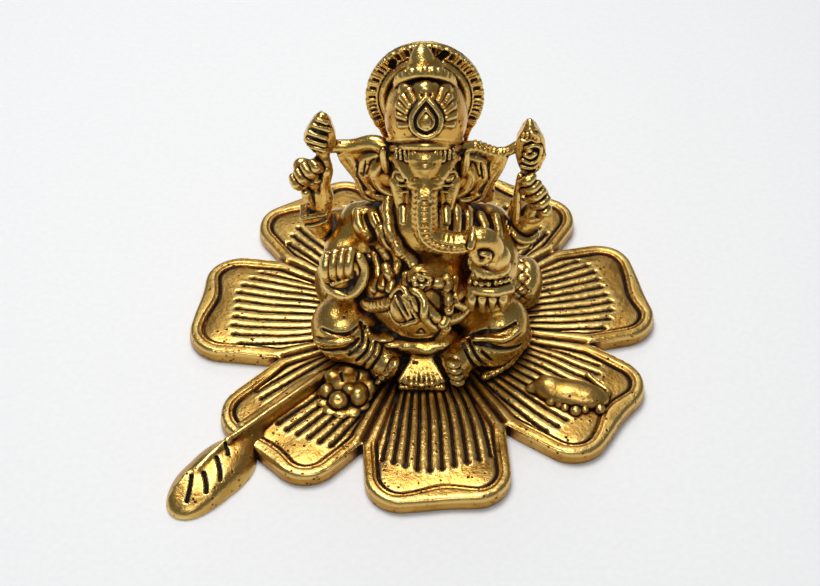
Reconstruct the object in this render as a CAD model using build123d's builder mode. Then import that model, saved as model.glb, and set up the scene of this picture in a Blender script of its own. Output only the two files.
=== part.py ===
"""Seated elephant-headed idol on a seven-petal flower dish, built up from separate metal castings.

Frame: millimetres, +Z up, the idol faces -Y. The origin is the centre of the flower, on the flat
underside that rests on a shelf. "Right" and "left" in the names are the idol's own.
"""

import math
import os

from build123d import *

os.makedirs("parts", exist_ok=True)

# ---- driving dimensions of the flower dish
FLOWER_RADIUS = 80.0
PETAL_AZIMUTHS = (-86, -35, 13, 60, 125, 173, 227)
PETAL_WIDTH = 47.0
PETAL_CORNER = 12.0
PETAL_ROOT = 20.0
HUB_RADIUS = 48.0
NOTCH_ZONE = (HUB_RADIUS, 60.0)
NOTCH_FILLET = 3.0
PLATE = 5.5
EDGE_ROUND = 1.8
FLUTES_PER_PETAL = 9
FLUTE_WIDTH = 1.3
FLUTE_DEPTH = 0.8
FLUTE_FAN = 34.0
FLUTE_INNER = 38.0
FLUTE_OUTER = 68.0
FLUTE_ARCH = 4.0

# ---- fixing screws, from below through the dish into the idol
SCREW_SPAN = 24.0
SCREW_Y = -6.0
SCREW_RADIUS = 2.0
SCREW_LENGTH = 14.0
SCREW_HEAD_RADIUS = 3.9
SCREW_HEAD = 2.1
SOCKET_ACROSS_FLATS = 2.5
SOCKET_DEPTH = 1.2
WASHER_RADIUS = 4.2
WASHER = 0.8
COUNTERBORE_RADIUS = 4.5
COUNTERBORE = SCREW_HEAD + WASHER + 0.3
SCREW_CLEARANCE = 0.25

# ---- driving dimensions of the idol
SEAT = PLATE
HEAD_X = 0.6
NECK = 64.0
NECK_Y = -1.0
NECK_TENON_RADIUS = 5.0
NECK_TENON = 9.0
KNEE_RADIUS = 11.5
RIGHT_KNEE = (-26.5, -16.0, 20.0)
LEFT_KNEE = (26.0, -14.5, 18.0)
RIGHT_FOOT = (-13.0, -28.0, 12.0)
LEFT_FOOT = (12.0, -28.5, 11.0)
HALO_RADIUS = 18.3
HALO_THICK = 2.6
HALO_CENTRE = (HEAD_X, 9.0, 96.0)
HALO_LEAN = 8.0
EAR_THICK = 3.4


def ball(centre, radius):
    """A sphere about a point."""
    with BuildPart() as blob:
        with Locations(centre):
            Sphere(radius)
    return blob.part


def limb(start, end, start_radius, end_radius):
    """A round-ended, tapering limb between two points."""
    span = Vector(*end) - Vector(*start)
    with BuildPart() as rod:
        with BuildSketch(Plane.XZ):
            with BuildLine():
                CenterArc((0, 0), start_radius, -90, 90)
                Line((start_radius, 0), (end_radius, span.length))
                CenterArc((0, span.length), end_radius, 0, 90)
                Line((0, span.length + end_radius), (0, -start_radius))
            make_face()
        revolve(axis=Axis.Z)
    return rod.part.moved(Plane(origin=start, z_dir=span).location)


def chain(points, radii):
    """Limbs joined end to end through the points."""
    spans = zip(points, points[1:], radii, radii[1:])
    return [limb(*span) for span in spans]


def on_petal(azimuth, radius):
    """The point at that distance from the flower's centre."""
    turn = math.radians(azimuth)
    return (radius * math.cos(turn), radius * math.sin(turn))


# ---- flower dish: seven petals round a hub, fluted, with two counterbored screw holes below
with BuildPart() as flower_base:
    with BuildSketch() as flower:
        Circle(HUB_RADIUS)
        for azimuth in PETAL_AZIMUTHS:
            length = FLOWER_RADIUS - PETAL_ROOT
            with Locations(on_petal(azimuth, PETAL_ROOT + length / 2)):
                RectangleRounded(length, PETAL_WIDTH, PETAL_CORNER, rotation=azimuth)
        notches = flower.vertices().filter_by(lambda v: NOTCH_ZONE[0] < v.center().length < NOTCH_ZONE[1])
        fillet(notches, NOTCH_FILLET)
    extrude(amount=PLATE)
    fillet(flower_base.faces().sort_by(Axis.Z)[-1].outer_wire().edges(), EDGE_ROUND)
    with BuildSketch(Plane.XY.offset(PLATE)):
        for azimuth in PETAL_AZIMUTHS:
            for flute in range(FLUTES_PER_PETAL):
                share = flute / (FLUTES_PER_PETAL - 1) * 2 - 1
                bearing = azimuth + share * FLUTE_FAN / 2
                tip = FLUTE_OUTER - FLUTE_ARCH * share**2
                with Locations(on_petal(bearing, (FLUTE_INNER + tip) / 2)):
                    SlotOverall(tip - FLUTE_INNER, FLUTE_WIDTH, rotation=bearing)
    extrude(amount=-FLUTE_DEPTH, mode=Mode.SUBTRACT)
    with Locations(Plane.XY.rotated((180, 0, 0))):
        with Locations((-SCREW_SPAN / 2, -SCREW_Y), (SCREW_SPAN / 2, -SCREW_Y)):
            CounterBoreHole(SCREW_RADIUS + SCREW_CLEARANCE, COUNTERBORE_RADIUS, COUNTERBORE)

# ---- stem with its leaf: the stem lies on one petal, the leaf reaches past it to the shelf
STEM_START = (-31.0, -27.0)
STEM_END = (-58.0, -51.0)
LEAF_TIP = (-79.0, -81.0)
STEM_RISE = 3.5
LEAF_THICK = 9.0
LEAF_WIDTH = 17.0
leaf_mid = ((STEM_END[0] + LEAF_TIP[0]) / 2, (STEM_END[1] + LEAF_TIP[1]) / 2)
leaf_run = (LEAF_TIP[0] - STEM_END[0], LEAF_TIP[1] - STEM_END[1])
leaf_length = math.hypot(*leaf_run)
leaf_bearing = math.degrees(math.atan2(leaf_run[1], leaf_run[0]))
with BuildPart() as stem_leaf:
    with BuildSketch():
        with Locations(leaf_mid):
            Ellipse(leaf_length / 2 + 2.0, LEAF_WIDTH / 2, rotation=leaf_bearing)
    extrude(amount=LEAF_THICK)
    fillet(stem_leaf.faces().sort_by(Axis.Z)[-1].edges(), 3.5)
    add(limb((*STEM_START, PLATE), (*STEM_END, PLATE), 2.6, STEM_RISE))
    add(flower_base.part, mode=Mode.SUBTRACT)
    split(bisect_by=Plane.XY, keep=Keep.TOP)

# ---- blossom at the inner end of the stem
BLOSSOM_CENTRE = (-26.0, -35.5)
BLOSSOM_RADIUS = 8.4
BLOSSOM_LOBES = 5
LOBE_RADIUS = 3.0
LOBE_RING = 4.8
with BuildPart() as stem_blossom:
    with BuildSketch(Plane.XY.offset(PLATE)):
        with Locations(BLOSSOM_CENTRE):
            Circle(BLOSSOM_RADIUS)
    extrude(amount=2.0)
    fillet(stem_blossom.faces().sort_by(Axis.Z)[-1].edges(), 1.2)
    with Locations((*BLOSSOM_CENTRE, PLATE + 2.4)):
        with PolarLocations(LOBE_RING, BLOSSOM_LOBES, start_angle=90):
            Sphere(LOBE_RADIUS)
    add(stem_leaf.part, mode=Mode.SUBTRACT)
    split(bisect_by=Plane.XY.offset(PLATE), keep=Keep.TOP)

# ---- the mouse that attends the idol, crouched on a front petal
MOUSE_NOSE = (40.0, -34.0)
MOUSE_RUMP = (57.0, -39.5)
with BuildPart() as mouse:
    add(limb((*MOUSE_NOSE, PLATE + 1.5), (*MOUSE_RUMP, PLATE + 2.0), 2.4, 5.2))
    add(ball((MOUSE_NOSE[0] + 4.5, MOUSE_NOSE[1] - 2.0, PLATE + 3.0), 3.6))
    split(bisect_by=Plane.XY.offset(PLATE), keep=Keep.TOP)

# ---- seated body: belly, chest, folded legs and the two lower arms
RIGHT_ARM = ((-19.5, -2.0, 51.0), (-29.5, -8.0, 43.0), (-26.0, -19.0, 47.0), (-25.0, -22.0, 56.5))
LEFT_ARM = ((20.5, -2.0, 51.0), (30.0, -8.0, 41.5), (24.5, -20.0, 48.0), (21.0, -24.5, 45.0))
ARM_RADII = (7.5, 6.4, 5.4, 4.6)
with BuildPart() as seated_body:
    add(limb((-13.0, -1.0, 17.0), (13.0, -1.0, 17.0), 12.5, 12.5))
    add(limb((1.0, -11.0, 31.0), (0.8, -8.5, 40.0), 19.8, 19.2))
    add(limb((0.5, -4.0, 44.0), (HEAD_X, -2.0, 60.0), 17.0, 11.5))
    add(limb((-19.0, -1.0, 51.5), (20.0, -1.0, 51.5), 7.8, 7.8))
    for side, knee, foot in ((-1, RIGHT_KNEE, RIGHT_FOOT), (1, LEFT_KNEE, LEFT_FOOT)):
        add(limb((side * 12.0, -2.0, 17.5), knee, 10.8, KNEE_RADIUS))
        add(limb(knee, foot, 8.4, 5.2))
        add(limb(foot, (foot[0] + side * 2.0, foot[1] - 2.5, SEAT + 2.0), 5.0, 3.2))
    for arm in (RIGHT_ARM, LEFT_ARM):
        for piece in chain(arm, ARM_RADII):
            add(piece)
    add(ball((20.5, -25.0, 56.0), 5.6))
    with BuildSketch(Plane.XY.offset(SEAT)):
        with Locations((0, -20.5)):
            Trapezoid(20.0, 24.0, 78.0, rotation=180)
    extrude(amount=5.5)
    split(bisect_by=Plane.XY.offset(SEAT), keep=Keep.TOP)
    with BuildSketch(Plane.XY.offset(SEAT)):
        with Locations((-SCREW_SPAN / 2, SCREW_Y), (SCREW_SPAN / 2, SCREW_Y)):
            Circle(SCREW_RADIUS)
    extrude(amount=SCREW_LENGTH, mode=Mode.SUBTRACT)
    with BuildSketch(Plane.XY.offset(NECK)):
        with Locations((HEAD_X, NECK_Y)):
            Circle(NECK_TENON_RADIUS)
    extrude(amount=NECK_TENON, mode=Mode.SUBTRACT)

# ---- bolster behind the seat
BOLSTER_RADIUS = 10.0
BOLSTER_Y = 8.5
BOLSTER_ENDS = (-36.0, 40.0)
with BuildPart() as bolster:
    with BuildSketch(Plane.YZ.offset(BOLSTER_ENDS[0])):
        with Locations((BOLSTER_Y, SEAT + BOLSTER_RADIUS)):
            Circle(BOLSTER_RADIUS)
    extrude(amount=BOLSTER_ENDS[1] - BOLSTER_ENDS[0])
    fillet(bolster.edges().filter_by(GeomType.CIRCLE), 3.0)
    add(seated_body.part, mode=Mode.SUBTRACT)

# ---- head: skull, crown, trunk and the two spread ears, cut flat behind to carry the halo
TRUNK = (
    (0.5, -9.5, 84.0),
    (0.2, -18.0, 77.0),
    (0.5, -21.5, 70.5),
    (4.5, -23.5, 66.0),
    (12.0, -25.0, 64.5),
    (19.0, -25.5, 65.5),
)
TRUNK_RADII = (7.0, 5.4, 5.0, 4.6, 4.2, 3.8)
CROWN = ((HEAD_X, -1.0, 92.0), (HEAD_X, -1.0, 98.0), (HEAD_X, -1.0, 108.5), (HEAD_X, -1.0, 112.5))
CROWN_RADII = (12.4, 12.0, 4.6, 3.2)
HEAD_TAPER = (9.5, 12.0)
CHEEK_RADIUS = 8.6
EAR_LENGTH = 30.0
EAR_RIM_RADII = (2.6, 2.4)
EARS = ((-1, 84.5), (1, 81.5))
halo_plane = Plane(origin=HALO_CENTRE, x_dir=(1, 0, 0), z_dir=(0, -1, 0)).rotated((HALO_LEAN, 0, 0))
with BuildPart() as head:
    add(limb((HEAD_X, NECK_Y, 72.0), (HEAD_X, NECK_Y, 85.0), *HEAD_TAPER))
    add(limb((HEAD_X - 3.5, -5.0, 85.0), (HEAD_X + 3.5, -5.0, 85.0), CHEEK_RADIUS, CHEEK_RADIUS))
    for piece in chain(CROWN, CROWN_RADII):
        add(piece)
    for piece in chain(TRUNK, TRUNK_RADII):
        add(piece)
    for side, top in EARS:
        with BuildSketch(Plane.XZ.offset(-2.0)):
            with BuildLine():
                Polyline(
                    (side * 6.0, top),
                    (side * EAR_LENGTH, top),
                    (side * EAR_LENGTH, top - 4.0),
                    (side * 24.0, 63.0),
                    (side * 19.0, 60.0),
                    (side * 7.0, 70.0),
                    close=True,
                )
            make_face()
        extrude(amount=EAR_THICK)
        add(limb((side * 9.0, 1.0, top), (side * (EAR_LENGTH - 1.0), 1.0, top), *EAR_RIM_RADII))
    split(bisect_by=halo_plane.offset(HALO_THICK / 2), keep=Keep.TOP)
    add(seated_body.part, mode=Mode.SUBTRACT)

# ---- halo: a rimmed disc that leans back behind the crown, on a tang down to the nape
PIERCING_RADIUS = 1.2
PIERCING_RING = 15.6
PIERCING_START = 52
PIERCING_APART = 76
TANG_WIDTH = 20.0
TANG_LENGTH = 24.0
with BuildPart() as halo:
    with BuildSketch(halo_plane):
        Circle(HALO_RADIUS)
        with Locations((0, -HALO_RADIUS)):
            Rectangle(TANG_WIDTH, TANG_LENGTH)
    extrude(amount=HALO_THICK / 2, both=True)
    with BuildSketch(halo_plane):
        with PolarLocations(PIERCING_RING, 2, PIERCING_START, PIERCING_APART, endpoint=True):
            Circle(PIERCING_RADIUS)
    extrude(amount=HALO_THICK, both=True, mode=Mode.SUBTRACT)
    add(seated_body.part, mode=Mode.SUBTRACT)

# ---- raised arms, each with its fist and emblem, standing free of the ears
RAISED_RIGHT = (
    (-22.0, 1.0, 51.0),
    (-33.0, 1.5, 54.0),
    (-35.5, -2.0, 74.0),
    (-35.5, -1.0, 82.0),
    (-32.5, 0.0, 95.0),
)
RAISED_LEFT = (
    (23.0, 1.0, 49.0),
    (33.0, 1.5, 50.0),
    (34.0, -2.0, 68.0),
    (32.5, -1.0, 76.0),
    (32.6, 0.0, 91.0),
)
RAISED_RADII = (6.0, 5.2, 4.8, 4.6, 2.6)
with BuildPart() as raised_right_arm:
    for piece in chain(RAISED_RIGHT, RAISED_RADII):
        add(piece)
    for neighbour in (seated_body, head, bolster):
        add(neighbour.part, mode=Mode.SUBTRACT)

with BuildPart() as raised_left_arm:
    for piece in chain(RAISED_LEFT, RAISED_RADII):
        add(piece)
    for neighbour in (seated_body, head, bolster):
        add(neighbour.part, mode=Mode.SUBTRACT)

# ---- two socket screws and their washers, sunk in the underside
washer_face = COUNTERBORE
with BuildPart() as fixing_screws:
    with Locations((-SCREW_SPAN / 2, SCREW_Y, 0), (SCREW_SPAN / 2, SCREW_Y, 0)):
        head_base = washer_face - WASHER - SCREW_HEAD
        with Locations((0, 0, head_base)):
            Cylinder(SCREW_HEAD_RADIUS, SCREW_HEAD, align=(Align.CENTER, Align.CENTER, Align.MIN))
            shank = SEAT + SCREW_LENGTH - head_base - 1.0
            Cylinder(SCREW_RADIUS, shank, align=(Align.CENTER, Align.CENTER, Align.MIN))
    with BuildSketch(Plane.XY.offset(washer_face - WASHER - SCREW_HEAD)):
        with Locations((-SCREW_SPAN / 2, SCREW_Y), (SCREW_SPAN / 2, SCREW_Y)):
            RegularPolygon(SOCKET_ACROSS_FLATS / 2, 6, major_radius=False)
    extrude(amount=SOCKET_DEPTH, mode=Mode.SUBTRACT)

with BuildPart() as screw_washers:
    with BuildSketch(Plane.XY.offset(washer_face - WASHER)):
        with Locations((-SCREW_SPAN / 2, SCREW_Y), (SCREW_SPAN / 2, SCREW_Y)):
            Circle(WASHER_RADIUS)
            Circle(SCREW_RADIUS + SCREW_CLEARANCE / 2, mode=Mode.SUBTRACT)
    extrude(amount=WASHER)

CASTINGS = {
    "flower_base": flower_base,
    "stem_leaf": stem_leaf,
    "stem_blossom": stem_blossom,
    "mouse": mouse,
    "seated_body": seated_body,
    "bolster": bolster,
    "head": head,
    "halo": halo,
    "raised_right_arm": raised_right_arm,
    "raised_left_arm": raised_left_arm,
    "fixing_screws": fixing_screws,
    "screw_washers": screw_washers,
}
for name, piece in CASTINGS.items():
    piece.part.label = name
    export_step(piece.part, f"parts/{name}.step")
    solids = piece.part.solids()
    print(name, len(solids), [round(s.volume) for s in solids], piece.part.is_valid)
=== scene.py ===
"""A small gilt idol on a flower dish: the looks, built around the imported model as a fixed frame.

Every form is worked in millimetres in the model's own frame (+Z up, the idol faces -Y) and is cast into
a Blender mesh in metres. "Right" and "left" are the idol's own, so its right hand is at -X.
"""

import math
from collections import namedtuple

import bmesh
import bpy
import numpy as np
import openvdb
from mathutils import Euler, Matrix, Vector


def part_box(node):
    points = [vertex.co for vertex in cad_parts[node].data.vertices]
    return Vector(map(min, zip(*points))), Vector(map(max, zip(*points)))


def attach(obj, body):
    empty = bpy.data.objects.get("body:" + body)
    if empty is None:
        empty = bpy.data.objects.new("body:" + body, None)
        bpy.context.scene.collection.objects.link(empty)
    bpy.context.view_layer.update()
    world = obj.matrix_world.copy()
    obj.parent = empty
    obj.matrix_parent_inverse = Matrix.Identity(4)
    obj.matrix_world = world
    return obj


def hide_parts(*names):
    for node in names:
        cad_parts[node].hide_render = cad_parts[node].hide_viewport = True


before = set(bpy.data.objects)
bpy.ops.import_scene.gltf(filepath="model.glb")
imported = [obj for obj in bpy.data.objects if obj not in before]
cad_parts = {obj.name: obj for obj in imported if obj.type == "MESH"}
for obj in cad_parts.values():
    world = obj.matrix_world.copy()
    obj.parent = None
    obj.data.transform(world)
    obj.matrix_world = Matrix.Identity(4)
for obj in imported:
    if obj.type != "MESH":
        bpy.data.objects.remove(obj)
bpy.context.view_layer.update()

MM = 0.001


def box_mm(node):
    """A CAD node's lowest and highest corners, in millimetres."""
    low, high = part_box(node)
    return np.array(low) / MM, np.array(high) / MM


DISH_TOP = box_mm("flower_base")[1][2]


# ------------------------------------------------------------------ modelling wax

# a form has the two corners of its box, and gap(x, y, z): how far a point lies outside its surface, in mm
Form = namedtuple("Form", "low high gap")
FAR = 6.0  # a fresh block's distance to any surface, in mm


def limb(start, end, start_radius, end_radius):
    """A round-ended rod that may taper."""
    a, b = np.array(start, float), np.array(end, float)
    run = b - a
    reach = max(run @ run, 1e-9)

    def gap(x, y, z):
        dx, dy, dz = x - a[0], y - a[1], z - a[2]
        t = np.clip((dx * run[0] + dy * run[1] + dz * run[2]) / reach, 0, 1)
        across = (dx - t * run[0]) ** 2 + (dy - t * run[1]) ** 2 + (dz - t * run[2]) ** 2
        return np.sqrt(across) - (start_radius + (end_radius - start_radius) * t)

    fat = max(start_radius, end_radius)
    return Form(np.minimum(a, b) - fat, np.maximum(a, b) + fat, gap)


def lump(centre, radii, turn=(0, 0, 0)):
    """An egg or a pebble: three half-axes, turned by degrees about X, Y and Z."""
    centre, radii = np.array(centre, float), np.array(radii, float)
    axes = np.array(Euler([math.radians(t) for t in turn]).to_matrix())

    def gap(x, y, z):
        dx, dy, dz = x - centre[0], y - centre[1], z - centre[2]
        near, far = 0.0, 0.0
        for i in range(3):
            along = (dx * axes[0, i] + dy * axes[1, i] + dz * axes[2, i]) / radii[i]
            near = near + along**2
            far = far + (along / radii[i]) ** 2
        near = np.sqrt(near)
        return near * (near - 1) / np.maximum(np.sqrt(far), 1e-6)

    reach = np.abs(axes) @ radii
    return Form(centre - reach, centre + reach, gap)


def slab(outline, y_centre, thickness, lean=0.0):
    """A flat plate that faces -Y, cut to an outline of (x, z) points; lean moves it back per mm of height."""
    points = np.array(outline, float)
    middle = points.mean(0)

    def gap(x, y, z):
        flat = np.full(np.broadcast(x, z).shape, 1e9)
        inside = np.zeros(flat.shape, bool)
        for (ax, az), (bx, bz) in zip(points, np.roll(points, -1, 0)):
            ex, ez = bx - ax, bz - az
            t = np.clip(((x - ax) * ex + (z - az) * ez) / (ex * ex + ez * ez), 0, 1)
            flat = np.minimum(flat, (x - ax - t * ex) ** 2 + (z - az - t * ez) ** 2)
            crosses = ((az > z) != (bz > z)) & (x < (bx - ax) * (z - az) / (bz - az + 1e-12) + ax)
            inside ^= crosses
        flat = np.where(inside, -1, 1) * np.sqrt(flat)
        deep = np.abs(y - y_centre - lean * (z - middle[1])) - thickness / 2
        return np.maximum(flat, deep)

    back = abs(lean) * np.ptp(points[:, 1]) + thickness
    low = np.array([points[:, 0].min(), y_centre - back, points[:, 1].min()])
    high = np.array([points[:, 0].max(), y_centre + back, points[:, 1].max()])
    return Form(low, high, gap)


def curve(points, step=0.8):
    """Evenly spaced points on a smooth curve through the given ones; extra numbers, as a radius, follow."""
    p = np.array(points, float)
    if len(p) == 2:
        count = max(int(np.linalg.norm(p[1, :3] - p[0, :3]) / step), 1)
        t = np.linspace(0, 1, count + 1)[:, None]
        return p[0] * (1 - t) + p[1] * t
    p = np.vstack([2 * p[0] - p[1], p, 2 * p[-1] - p[-2]])
    out = []
    for a, b, c, d in zip(p, p[1:], p[2:], p[3:]):
        count = max(int(np.linalg.norm((c - b)[:3]) / step), 1)
        t = (np.arange(count) / count)[:, None]
        bend, twist = 2 * a - 5 * b + 4 * c - d, 3 * b - a - 3 * c + d
        out.append(0.5 * (2 * b + (c - a) * t + bend * t**2 + twist * t**3))
    return np.vstack(out + [p[-2][None]])


def rod(points, radius=None, step=0.8):
    """A round rod along a smooth curve. Without a radius, each point's fourth number is its radius."""
    path = curve(points, step)
    if radius is not None:
        path = np.column_stack([path[:, :3], np.full(len(path), radius)])
    return [limb(a[:3], b[:3], a[3], b[3]) for a, b in zip(path, path[1:])]


def pearls(points, radius, spacing):
    """Balls threaded along a smooth curve."""
    return [limb(p[:3], p[:3], radius, radius) for p in curve(points, spacing)]


def bounds_of(forms):
    """The box around several forms."""
    return np.min([f.low for f in forms], 0), np.max([f.high for f in forms], 0)


class Wax:
    """A block of modelling wax: a fine grid that holds each point's distance to the surface, in mm."""

    def __init__(self, low, high, cell):
        self.low, self.cell = np.array(low, float), cell * 1.0
        self.count = np.ceil((np.array(high) - self.low) / self.cell).astype(int) + 1
        self.field = np.full(self.count, FAR, np.float32)

    def window(self, low, high):
        """The grid's cells between two corners."""
        first = np.clip(np.floor((low - self.low) / self.cell).astype(int), 0, self.count)
        last = np.clip(np.ceil((high - self.low) / self.cell).astype(int) + 1, first, self.count)
        return tuple(slice(a, b) for a, b in zip(first, last))

    def mesh_lines(self, window):
        """The x, y and z of a window's cells, ready to broadcast."""
        lines = []
        for start, span in zip(self.low, window):
            lines.append(start + self.cell * np.arange(span.start, span.stop, dtype=np.float32))
        return np.ix_(*lines)

    def measure(self, forms, reach):
        """The forms' own distances in a window around them."""
        low, high = bounds_of(forms)
        window = self.window(low - reach, high + reach)
        own = np.full([s.stop - s.start for s in window], FAR, np.float32)
        for form in forms:
            part = self.window(form.low - reach, form.high + reach)
            inner = tuple(slice(p.start - w.start, p.stop - w.start) for p, w in zip(part, window))
            if own[inner].size:
                own[inner] = np.minimum(own[inner], form.gap(*self.mesh_lines(part)))
        return window, own

    def add(self, forms, blend=0.5):
        """Presses forms on, with a fillet about as wide as blend."""
        forms = forms if isinstance(forms, list) else [forms]
        window, own = self.measure(forms, blend + 2.5)
        old = self.field[window]
        soft = np.clip(0.5 + 0.5 * (old - own) / blend, 0, 1)
        self.field[window] = old + (own - old) * soft - blend * soft * (1 - soft)

    def cut(self, forms, blend=0.3):
        """Carves forms away, rounding the lip by about blend."""
        forms = forms if isinstance(forms, list) else [forms]
        window, own = self.measure(forms, blend + 1.5)
        old, own = self.field[window], -own
        soft = np.clip(0.5 - 0.5 * (old - own) / blend, 0, 1)
        self.field[window] = old + (own - old) * soft + blend * soft * (1 - soft)

    def trim(self, keep, blend=0.01):
        """Cuts the block off where keep(x, y, z) is positive, rounding the edge by about blend."""
        everything = tuple(slice(0, n) for n in self.count)
        own = keep(*self.mesh_lines(everything)).astype(np.float32)
        soft = np.clip(0.5 - 0.5 * (self.field - own) / blend, 0, 1)
        self.field = self.field + (own - self.field) * soft + blend * soft * (1 - soft)

    def cut_below(self, level):
        """Cuts the block off flat at a height and throws away what lies under it."""
        self.trim(lambda x, y, z: level - z)

    def sample(self, points):
        """Distances at any points, by straight interpolation."""
        return interpolate(self.field, (np.asarray(points, float) - self.low) / self.cell)

    def settle(self, points, lift=0.0):
        """Moves points along the slope until they lie on the surface, or lift above it."""
        p = np.array(points, float)
        step = self.cell
        for _ in range(8):
            height = self.sample(p[:, :3])
            sides = [(self.sample(p[:, :3] + step * e), self.sample(p[:, :3] - step * e)) for e in np.eye(3)]
            slope = np.stack([far - near for far, near in sides], 1)
            steep = np.maximum(np.linalg.norm(slope, axis=1, keepdims=True), 1e-6)
            p[:, :3] -= np.clip(height - lift, -1.5, 1.5)[:, None] * slope / steep
        return p

    def lay(self, points, radius, sink=0.3, blend=0.3, step=0.6):
        """Lays a rod on the surface along a route, sunk in by a share of its radius."""
        route = self.settle(curve(points, step), radius * (1 - 2 * sink))
        self.add(rod(route[:, :3], radius, step), blend)
        return route

    def score(self, points, width, depth, blend=0.25, step=0.6):
        """Scratches a round-bottomed groove into the surface along a route."""
        route = self.settle(curve(points, step), width / 2 - depth)
        self.cut(rod(route[:, :3], width / 2, step), blend)
        return route

    def roughen(self, height, spacing, seed):
        """Gives the surface the slight lumps of a hand-worked model."""
        chance = np.random.default_rng(seed)
        lumps = chance.uniform(-1, 1, [int(n * self.cell / spacing) + 5 for n in self.count])
        for axis, n in enumerate(self.count):
            place = np.arange(n) * self.cell / spacing + 1.5
            weights = np.maximum(0, 1 - np.abs(place[:, None] - np.arange(lumps.shape[axis])) / 1.5)
            weights = weights**2 * (3 - 2 * weights)
            weights /= weights.sum(1, keepdims=True)
            lumps = np.moveaxis(np.tensordot(weights, lumps, (1, axis)), 0, axis)
        self.field += (height * lumps / np.abs(lumps).max()).astype(np.float32)

    def cast(self):
        """The finished surface: points in mm and four-sided faces."""
        grid = openvdb.FloatGrid()
        grid.transform = openvdb.createLinearTransform(voxelSize=self.cell)
        grid.copyFromArray(self.field)
        points, quads = grid.convertToQuads(isovalue=0.0)
        points = np.array(points, float) + self.low
        return points, np.array(quads, int)


def interpolate(field, at):
    """Reads a grid between its cells; at is in cells."""
    top = np.array(field.shape) - 1.001
    at = np.clip(at, 0, top)
    base = np.floor(at).astype(int)
    part = at - base
    value = 0.0
    for corner in np.ndindex(2, 2, 2):
        weight = np.prod(np.where(corner, part, 1 - part), axis=1)
        i, j, k = (base + corner).T
        value = value + weight * field[i, j, k]
    return value


CASTINGS = []


def pour(name, points, faces, replaced, slot):
    """Makes a Blender mesh of a finished surface and notes what it stands for."""
    mesh = bpy.data.meshes.new(name)
    faces = np.asarray(faces)
    mesh.vertices.add(len(points))
    mesh.vertices.foreach_set("co", (np.asarray(points) * MM).ravel())
    mesh.loops.add(faces.size)
    mesh.loops.foreach_set("vertex_index", faces.ravel())
    mesh.polygons.add(len(faces))
    mesh.polygons.foreach_set("loop_start", np.arange(0, faces.size, faces.shape[1]))
    mesh.update(calc_edges=True)
    mesh.shade_smooth()
    piece = bpy.data.objects.new(name, mesh)
    bpy.context.scene.collection.objects.link(piece)
    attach(piece, "root")
    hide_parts(replaced)
    CASTINGS.append((piece, slot))
    return piece


# ------------------------------------------------------------------ flower dish

PETALS = (-86, -35, 13, 60, 125, 173, 227)  # the petals' bearings, in degrees from +X
PETAL_TIP, PETAL_HALF, PETAL_CORNER = 80.0, 23.5, 12.0  # reach, half-width and corner radius
RIM = 4.4  # the raised border's width
GROOVE, CREASE = 0.46, 0.9  # half-widths of the line inside the rim and of the fold between petals
FLUTES = 10  # on each petal
FLUTE_HALF, FLUTE_DEEP, FLUTE_DOT = 0.62, 0.95, 0.95  # half-width, depth, radius of the round end
FLUTE_END = 66.5  # how far out the middle flutes run
HUB, HUB_EDGE = 9.0, 47.5  # where the rings start, and the outline's least radius
EDGE_ROUND = 1.3  # the top edge's rounding
WALL_STAIN = 0.30  # the wash left on the outer wall


def petal_edge(off_axis):
    """How far one rounded petal reaches from the flower's centre, at an angle off its own axis."""
    c, s = np.cos(off_axis), np.abs(np.sin(off_axis))
    tip = PETAL_TIP / np.maximum(c, 0.05)
    side = PETAL_HALF / np.maximum(s, 1e-3)
    corner_x, corner_y = PETAL_TIP - PETAL_CORNER, PETAL_HALF - PETAL_CORNER
    toward = corner_x * c + corner_y * s
    inside = toward**2 - corner_x**2 - corner_y**2 + PETAL_CORNER**2
    arc = toward + np.sqrt(np.maximum(inside, 0))
    on_tip = tip * s < corner_y
    on_side = side * c < corner_x
    reach = np.where(on_tip, tip, np.where(on_side, side, arc))
    return np.where(c > 0.3, reach, 0)


def smooth_larger(a, b, width):
    """The larger of two values, with a fillet between them."""
    mix = np.clip(0.5 + 0.5 * (a - b) / width, 0, 1)
    return b + (a - b) * mix + width * mix * (1 - mix)


def dish_edge(bearing):
    """The dish's outline: seven petals, with filleted notches and a slight wave in each tip."""
    edge = np.full_like(bearing, HUB_EDGE)
    for i, petal in enumerate(PETALS):
        off = (bearing - math.radians(petal) + math.pi) % (2 * math.pi) - math.pi
        reach = petal_edge(off)
        across = reach * np.sin(off) / PETAL_HALF
        centre, deep = 0.25 * math.sin(2.3 * i + 0.4), 0.5 + 0.3 * math.sin(1.7 * i)
        reach = reach - deep * np.exp(-(((across - centre) / 0.33) ** 2)) * (reach > 70)
        edge = smooth_larger(edge, reach, 3.2)
    return edge


def dish_rings():
    """Shares of the way from hub to edge, close together at the flutes' ends and over the rim."""
    parts = ((0.0, 0.62, 20), (0.62, 0.88, 32), (0.88, 1.0, 26))
    return np.concatenate([np.linspace(a, b, n, endpoint=False) for a, b, n in parts] + [[1.0]])


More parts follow.
